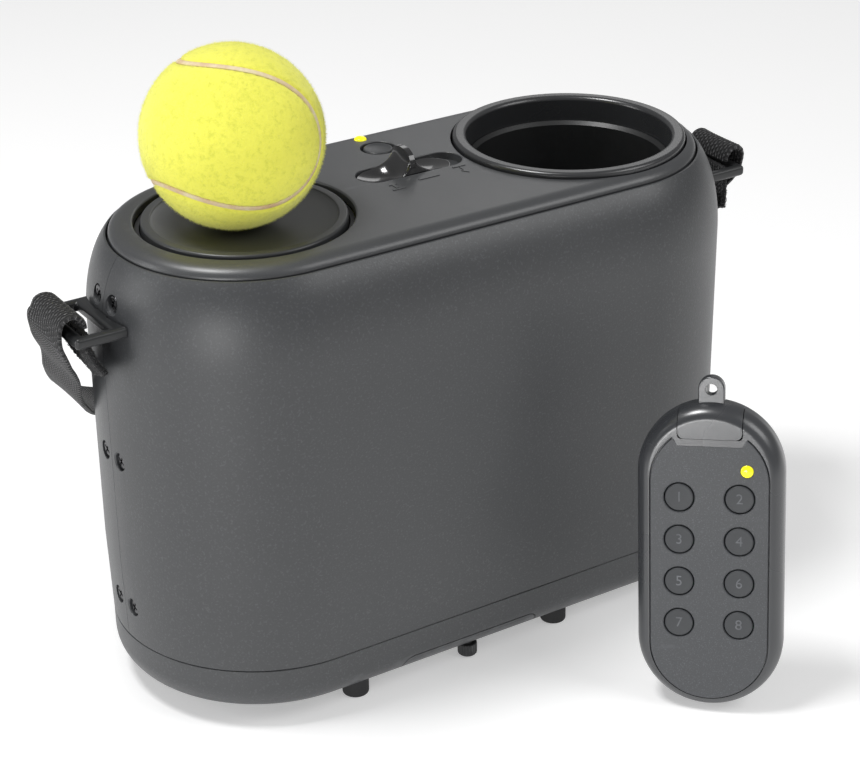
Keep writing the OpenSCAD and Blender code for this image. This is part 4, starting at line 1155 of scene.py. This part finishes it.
seam = bmesh.new()
rings = []
forward = np.roll(path, -1, axis=0) - np.roll(path, 1, axis=0)
for direction, ahead in zip(path, forward):
    up, ahead = Vector(direction), Vector(ahead).normalized()
    aside = up.cross(ahead).normalized()
    ring = []
    for a in np.linspace(0, 2 * math.pi, 8, endpoint=False):
        ring.append(seam.verts.new(ball_centre + up * (BALL_R - 0.62 + 0.5 * math.sin(a))
                                   + aside * SEAM_HALF * math.cos(a)))
    rings.append(ring)
for i in range(len(rings)):
    m = (i + 1) % len(rings)
    for j in range(8):
        k = (j + 1) % 8
        seam.faces.new((rings[i][j], rings[m][j], rings[m][k], rings[i][k]))
bmesh.ops.recalc_face_normals(seam, faces=seam.faces)
seam_material = seam_rubber()
complete(as_object("tennis_ball_seam", seam), "ball", seam_material, sharp=180)

# ---------------------------------------------------------------------------
# Remote
# The hand-held remote: two moulded halves, a grained face plate with eight keys, and a cap with a loop.
# The halves are satin black ABS and the keys soft rubber; it is drawn lying flat, then stood up.
REMOTE_R = 27.5
REMOTE_L = 120.0
REMOTE_T = 10.0
REMOTE_BACK = 8.0
REMOTE_STANDS = (50.9, -126.8, 0.26)
REMOTE_TURN = 45
REMOTE_LEAN = 10
REMOTE_ROLL = 3.3
FACE_X = (26.3, 90.3)
FACE_R = 22.0
KEY_PITCH = 16.65
KEY_FIRST = 34.7
KEY_Y = 11.2
LAMP_PLACE = (95.6, -13.8)
CAP_X = 107.6
CAP_W = 11.9
LOOP_X = 125.0
remote_place = (Matrix.Translation(REMOTE_STANDS) @ Matrix.Rotation(math.radians(-REMOTE_TURN), 4, "Z")
                @ Matrix.Rotation(math.radians(-REMOTE_LEAN), 4, "X")
                @ Matrix.Rotation(math.radians(90), 4, "Z") @ Matrix.Rotation(math.radians(-90), 4, "Y")
                @ Matrix.Translation((REMOTE_R, 0, 0)) @ Matrix.Rotation(math.radians(REMOTE_ROLL), 4, "Z")
                @ Matrix.Translation((-REMOTE_R, 0, 0)))
remote_mid = (REMOTE_L / 2, 0, 0)
remote_half = REMOTE_L / 2 - REMOTE_R
face_mid = (sum(FACE_X) / 2, 0, 0)
face_half = (FACE_X[1] - FACE_X[0]) / 2
remote_satin = plastic("remote_satin", (0.036, 0.038, 0.042), 0.27, grain=0.3, depth=0.006, glint_lift=1.12,
                       specular=0.9)
remote_grain = plastic("remote_grain", (0.052, 0.055, 0.06), 0.42, grain=0.42, depth=0.03, glint_lift=1.7)
key_rubber = plastic("key_rubber", (0.04, 0.043, 0.047), 0.5, grain=0.3, depth=0.008, glint_lift=1.1)
number_paint = plastic("number_paint", (0.12, 0.125, 0.135), 0.6, grain=0.3, depth=0.006, glint_lift=1.1)
keys = [(KEY_FIRST + KEY_PITCH * (3 - row), KEY_Y * side) for row in range(4) for side in (1, -1)]


def front_profile(grow):
    """The front half's edge, from its joint up to its flat face."""
    return arc(REMOTE_R - 5.2, 2.5, 5.2 + grow, REMOTE_T - 2.5 + grow, 0, 90, 14)


def shaped_hole(name, radius, bend, top, floor, place, steps=10):
    """A tool for a hole with a rounded mouth."""
    mouth = arc(radius + bend, top - bend, bend, bend, 180, 90, 5)
    return moulded(name, [(0, floor), (radius, floor)] + mouth + [(radius + bend, top + 2), (0, top + 2)],
                   centre=(*place, 0), steps=steps)


def notch(name, grow, low, high):
    """The step below the end cap, with slanted corners."""
    foot, neck = CAP_X - 2.9 - grow, CAP_X - grow
    return slab(name, [(foot, -12), (neck, -13.6 - grow), (CAP_X + 20, -13.6 - grow),
                       (CAP_X + 20, 13.6 + grow),
                       (neck, 13.6 + grow), (foot, 12)], low, high)


front = moulded("remote_front_moulding",
                [(0, 6.6), (REMOTE_R - 5, 6.6), (REMOTE_R - 2, 2.5), (REMOTE_R - 2, 0.05),
                 (REMOTE_R - 0.3, 0.05), (REMOTE_R, 0.35)]
                + front_profile(0) + [(0, REMOTE_T)], remote_half, centre=remote_mid, steps=32)
face_room = moulded("face room", [(0, REMOTE_T - 1.3), (FACE_R + 0.25, REMOTE_T - 1.3)]
                    + arc(FACE_R + 0.6, REMOTE_T - 0.35, 0.35, 0.35, 180, 90, 4)
                    + [(FACE_R + 0.6, REMOTE_T + 2), (0, REMOTE_T + 2)],
                    face_half, centre=face_mid, steps=32)
cut(face_room, [notch("step", 0.25, 0, 20)])
cap_room = soften(brick("cap room", (CAP_X - 0.25, -CAP_W - 0.25, -1), (REMOTE_L + 5, CAP_W + 0.25, 15)),
                  1.6, 4, 80)
cut(front, [face_room, cap_room,
            together("key rooms", [rod("key room", p, 5.7, 0, 12) for p in keys]
                     + [rod("lamp", LAMP_PLACE, 2.5, 0, 12)])])
soften(front, 0.16, 2, 55)
complete(front, "remote", remote_satin, ["remote_front_shell"], place=remote_place)

back = moulded("remote_back_moulding",
               [(0, -REMOTE_BACK)] + arc(REMOTE_R - 7, -2, 6.8, REMOTE_BACK - 2, -90, 0, 14)
               + [(REMOTE_R - 0.2, -0.3), (REMOTE_R - 0.45, -0.05), (REMOTE_R - 2, -0.05),
                  (REMOTE_R - 2, -2)]
               + arc(REMOTE_R - 7, -2, 5, REMOTE_BACK - 3.8, 0, -90, 8) + [(0, -REMOTE_BACK + 1.8)],
               remote_half, centre=remote_mid, steps=32)
screw_sinks = [moulded("sink", [(0, -REMOTE_BACK - 1), (2.4, -REMOTE_BACK - 1), (2.2, -REMOTE_BACK + 0.6),
                                (0, -REMOTE_BACK + 0.6)], centre=(x, y, 0), steps=8)
                for x in (16, 104) for y in (-8, 8)]
clip_groove = [brick("finger grip", (x, -9, -REMOTE_BACK - 1), (x + 1.1, 9, -REMOTE_BACK + 0.5))
               for x in (44, 48, 52, 56)]
cut(back, [together("sinks", screw_sinks + clip_groove)])
soften(back, 0.15, 2, 50)
complete(back, "remote", remote_satin, ["remote_back_shell"], place=remote_place)

face = moulded("remote_face_moulding", [(0, REMOTE_T - 1.2), (FACE_R, REMOTE_T - 1.2)]
               + arc(FACE_R - 0.4, REMOTE_T - 0.2, 0.4, 0.4, 0, 90, 5) + [(0, REMOTE_T + 0.2)],
               face_half, centre=face_mid, steps=32)
cut(face, [notch("notch", 0.0, 0, 20)])
cut(face, [together("key holes", [shaped_hole("key hole", 5.65, 0.6, REMOTE_T + 0.2, 5, p) for p in keys]
                    + [shaped_hole("lamp hole", 2.45, 0.2, REMOTE_T + 0.2, 5, LAMP_PLACE)])])
soften(face, 0.12, 2, 60)
complete(face, "remote", remote_grain, ["remote_face_plate"], place=remote_place)

cap = moulded("remote_cap_moulding",
              [(0, 0.1), (REMOTE_R + 0.2, 0.1), (REMOTE_R + 0.5, 0.4)] + front_profile(0.5)
              + [(0, REMOTE_T + 0.5)],
              remote_half, centre=remote_mid, steps=32)
outline = slab("cap size", arc(CAP_X + 2.4, -CAP_W + 2.4, 2.4, 2.4, 180, 270, 6)
               + [(140, -CAP_W), (140, CAP_W)]
               + arc(CAP_X + 2.4, CAP_W - 2.4, 2.4, 2.4, 90, 180, 6), -1, 20)
cut(cap, [outline], "INTERSECT")
cut(cap, [brick("inside", (90, -CAP_W + 1.6, -1), (REMOTE_L - 3, CAP_W - 1.6, 6.6))])
soften(cap, 0.4, 3, 45)
ring = slab("key loop", arc(LOOP_X, 0, 4.9, 4.9, -90, 90, 20)
            + [(REMOTE_L - 4, 4.9), (REMOTE_L - 4, -4.9)], 0.4, 4.6)
soften(ring, 0.5, 3, 50)
cut(ring, [rod("ring hole", (LOOP_X, 0), 2.1, -2, 8, 12)])
soften(ring, 0.2, 2, 60)
cut(cap, [ring], "UNION")
complete(cap, "remote", remote_satin, ["remote_end_cap"], place=remote_place)

remote_lens = moulded("remote_lamp_dome",
                      [(0, 3.4), (2.35, 3.4)] + arc(0, REMOTE_T + 0.1, 2.35, 0.8, 0, 90, 8),
                      centre=(*LAMP_PLACE, 0), steps=12)
complete(remote_lens, "remote", lamp_yellow, ["remote_led_lens"], place=remote_place)

for number, key_centre in enumerate(keys, 1):
    name = "remote_key_" + str(number)
    top = REMOTE_T + 0.3
    cap_shape = moulded(name + "_cap", [(0, 4.4), (5.35, 4.4)] + arc(4.75, top - 0.6, 0.6, 0.6, 0, 90, 6)
                        + [(3.4, top - 0.06), (0, top - 0.1)], centre=(*key_centre, 0), steps=14)
    complete(cap_shape, name, key_rubber, ["remote_button_" + str(number)],
             place=remote_place)
    text = bpy.data.curves.new(name + "_text", "FONT")
    text.body = str(number)
    text.size = 5.6
    text.extrude = 0.06
    text.resolution_u = 6
    text.align_x = "CENTER"
    text.align_y = "CENTER"
    drawn = bpy.data.objects.new("text", text)
    bpy.context.scene.collection.objects.link(drawn)
    graph = bpy.context.evaluated_depsgraph_get()
    mesh = bpy.data.meshes.new_from_object(drawn.evaluated_get(graph))
    bpy.data.objects.remove(drawn)
    mesh.transform(Matrix.Translation((key_centre[0], key_centre[1], top - 0.05))
                   @ Matrix.Rotation(-math.pi / 2, 4, "Z"))
    complete(as_object(name + "_number", mesh), name, number_paint, place=remote_place)

# ---------------------------------------------------------------------------
# Inner works
# What the casing hides: uprights, launcher, latch and servo, drop gate, cells, board and wiring.
# These pieces are finished as their real stock is: moulded nylon, steel, bronze, laminate and shrink wrap.


def finished(material, slot, *names):
    """Gives frame nodes their material."""
    for name in names:
        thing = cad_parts[name]
        if not thing.material_slots:
            thing.data.materials.append(material)
        for place in thing.material_slots:
            place.material = material


def circuit_board():
    """Green laminate with copper tracks under the lacquer and tinned pads."""
    material, tree, shader = bare_material("circuit_laminate")
    where = node(tree, "ShaderNodeTexCoord").outputs["Object"]
    tracks = node(tree, "ShaderNodeTexBrick")
    wire(tree, where, tracks.inputs["Vector"])
    for label, value in (("Scale", 260.0), ("Mortar Size", 0.05), ("Brick Width", 1.7), ("Row Height", 0.4)):
        tracks.inputs[label].default_value = value
    tracks.inputs["Color1"].default_value = (0.008, 0.075, 0.03, 1)
    tracks.inputs["Color2"].default_value = (0.01, 0.1, 0.04, 1)
    tracks.inputs["Mortar"].default_value = (0.03, 0.2, 0.08, 1)
    dots = node(tree, "ShaderNodeTexVoronoi")
    wire(tree, where, dots.inputs["Vector"])
    dots.inputs["Scale"].default_value = 330.0
    pads = ranged(tree, dots.outputs["Distance"], 0.16, 0.12, 0.0, 1.0)
    wire(tree, mixed(tree, pads, tracks.outputs["Color"], (0.55, 0.56, 0.55, 1)),
         shader.inputs["Base Color"])
    wire(tree, pads, shader.inputs["Metallic"])
    wire(tree, ranged(tree, pads, 0, 1, 0.25, 0.4), shader.inputs["Roughness"])
    return material


steel = metal("bright_steel", (0.56, 0.56, 0.57), 0.3, 0.3)
bronze = metal("sintered_bronze", (0.52, 0.3, 0.13), 0.45, 0.2)
inner_nylon = plastic("inner_nylon", (0.018, 0.018, 0.019), 0.5, grain=0.6, depth=0.02)
servo_case = plastic("servo_case", (0.03, 0.03, 0.032), 0.4, grain=0.4, depth=0.015)
core_rubber = plastic("core_rubber", (0.05, 0.045, 0.04), 0.8, grain=0.5, depth=0.05, cloud=0.15)
shrink_wrap = plastic("shrink_wrap", (0.02, 0.07, 0.24), 0.25, grain=2.0, depth=0.01, coat=0.4)
wire_sleeve = plastic("wire_sleeve", (0.35, 0.02, 0.015), 0.4, grain=0.5, depth=0.02, cloud=0.3,
                      cloud_size=6.0)
finished(inner_nylon, "dark_plastic", "end_bracket_left", "end_bracket_right", "launch_tube", "servo_bracket",
         "drop_gate", "battery_cradle")
finished(servo_case, "dark_plastic", "release_servo", "power_switch", "selector_switch")
finished(steel, "steel", "plunger_rod", "catch_collar", "release_latch", "gate_hinge_pin",
         "gate_spring", "gate_magnet", "gate_striker", "base_screws", "remote_screws", "remote_battery")
finished(bronze, "bronze", "rod_bush")
finished(circuit_board(), "circuit", "control_board", "remote_board")
finished(shrink_wrap, "cell", "battery_cells")
finished(wire_sleeve, "wire", "wiring_loom")
finished(core_rubber, "rubber", "ball_core")

# ---------------------------------------------------------------------------
# Launch spring
# A compression spring under the plate, drawn at one length; the real one shortens as the plate goes down onto
# the latch.
# Cold-wound from round spring steel wire.
SPRING_TURNS = 7
SPRING_WIRE = 1.1
spring_low, spring_high = box_mm("launch_spring")
spring_middle = (spring_low + spring_high) / 2
spring_r = (spring_high[1] - spring_low[1]) / 2 - SPRING_WIRE
wire_steps, wire_sides = SPRING_TURNS * 40, 10
bm = bmesh.new()
rings = []
for t in np.linspace(0, 1, wire_steps + 1):
    turned = 2 * math.pi * SPRING_TURNS * t
    outward = Vector((math.cos(turned), math.sin(turned), 0))
    height = spring_low[2] + SPRING_WIRE + t * (spring_high[2] - spring_low[2] - 2 * SPRING_WIRE)
    centre = Vector((spring_middle[0], spring_middle[1], height)) + outward * spring_r
    rings.append([bm.verts.new(centre + (outward * math.cos(a) + Vector((0, 0, math.sin(a)))) * SPRING_WIRE)
                  for a in np.linspace(0, 2 * math.pi, wire_sides, endpoint=False)])
for lower, upper in zip(rings, rings[1:]):
    for j in range(wire_sides):
        k = (j + 1) % wire_sides
        bm.faces.new((lower[j], lower[k], upper[k], upper[j]))
bm.faces.new(rings[0])
bm.faces.new(rings[-1])
bmesh.ops.recalc_face_normals(bm, faces=bm.faces)
spring = complete(as_object("launch_spring_coil", bm), "casing", steel, ["launch_spring"],
                  sharp=60)
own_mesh(spring)

# ---------------------------------------------------------------------------
# Studio
# A wide pale floor, a pale room, five soft boxes, and a long-lens camera at the front left.


def pale_floor():
    """White paper that is lit a little from below, so that it stays nearly white round soft shadows."""
    material, tree, shader = bare_material("pale_floor")
    where = node(tree, "ShaderNodeTexCoord").outputs["Object"]
    tone = ranged(tree, noise(tree, where, 3.0, 2.0), 0.3, 0.7, 0.0, 1.0)
    wire(tree, mixed(tree, tone, (0.8, 0.8, 0.8, 1), (0.81, 0.81, 0.81, 1)), shader.inputs["Base Color"])
    shader.inputs["Roughness"].default_value = 0.9
    shader.inputs["Specular IOR Level"].default_value = 0.0
    shader.inputs["Emission Color"].default_value = (1, 1, 1, 1)
    shader.inputs["Emission Strength"].default_value = 0.36
    return material


floor = brick("floor", (-4000, -4000, -20), (4000, 4000, 0))
floor.data.transform(Matrix.Scale(MM, 4))
floor.data.materials.append(pale_floor())

room = bpy.data.worlds.new("room")
room.use_nodes = True
sky = room.node_tree
sky.nodes.clear()
seen = node(sky, "ShaderNodeLightPath").outputs["Is Camera Ray"]
glow = node(sky, "ShaderNodeBackground")
glow.inputs["Color"].default_value = (1.0, 1.0, 1.0, 1)
wire(sky, ranged(sky, seen, 0, 1, 0.26, 0.93), glow.inputs["Strength"])
wire(sky, glow.outputs["Background"], node(sky, "ShaderNodeOutputWorld").inputs["Surface"])
bpy.context.scene.world = room
bpy.context.scene.view_settings.view_transform = "Standard"


def soft_box(name, place, target, width, height, power):
    """A rectangular soft light at a place in metres, aimed at a target."""
    light = bpy.data.lights.new(name, "AREA")
    light.shape = "RECTANGLE"
    light.size = width
    light.size_y = height
    light.energy = power
    box = bpy.data.objects.new(name, light)
    box.location = place
    box.rotation_euler = (Vector(target) - Vector(place)).to_track_quat("-Z", "Y").to_euler()
    bpy.context.scene.collection.objects.link(box)
    return box


soft_box("top_box", (-0.42, 0.12, 1.3), (-0.1, 0, 0.18), 0.34, 0.3, 10)
soft_box("front_box", (-1.05, -0.85, 0.1), (0.05, -0.1, 0.1), 0.5, 0.18, 4.5)
soft_box("left_strip", (-1.2, 0.45, 0.35), (-0.1, 0, 0.1), 0.25, 1.0, 4)
soft_box("rear_box", (1.0, 1.15, 0.85), (0.08, 0, 0.18), 0.6, 0.45, 0.9)
soft_box("right_box", (0.6, -0.75, 0.9), (-0.05, 0, 0.24), 0.6, 0.6, 4)

camera_data = bpy.data.cameras.new("camera")
camera_data.lens = 96.05
camera_data.sensor_width = 36
camera_data.shift_x = 0.00924
camera_data.shift_y = 0.01674
camera_data.clip_end = 50
yaw, pitch, roll = math.radians(31.912), math.radians(27.154), math.radians(-0.84)
ahead = Vector((math.sin(yaw) * math.cos(pitch), math.cos(yaw) * math.cos(pitch), -math.sin(pitch)))
level = Vector((math.cos(yaw), -math.sin(yaw), 0))
upright = level.cross(ahead)
right = level * math.cos(roll) + upright * math.sin(roll)
above = upright * math.cos(roll) - level * math.sin(roll)
camera = bpy.data.objects.new("camera", camera_data)
camera.matrix_world = Matrix((
    (right.x, above.x, -ahead.x, -0.42897),
    (right.y, above.y, -ahead.y, -0.69304),
    (right.z, above.z, -ahead.z, 0.50559),
    (0, 0, 0, 1)))
bpy.context.scene.collection.objects.link(camera)
bpy.context.scene.camera = camera
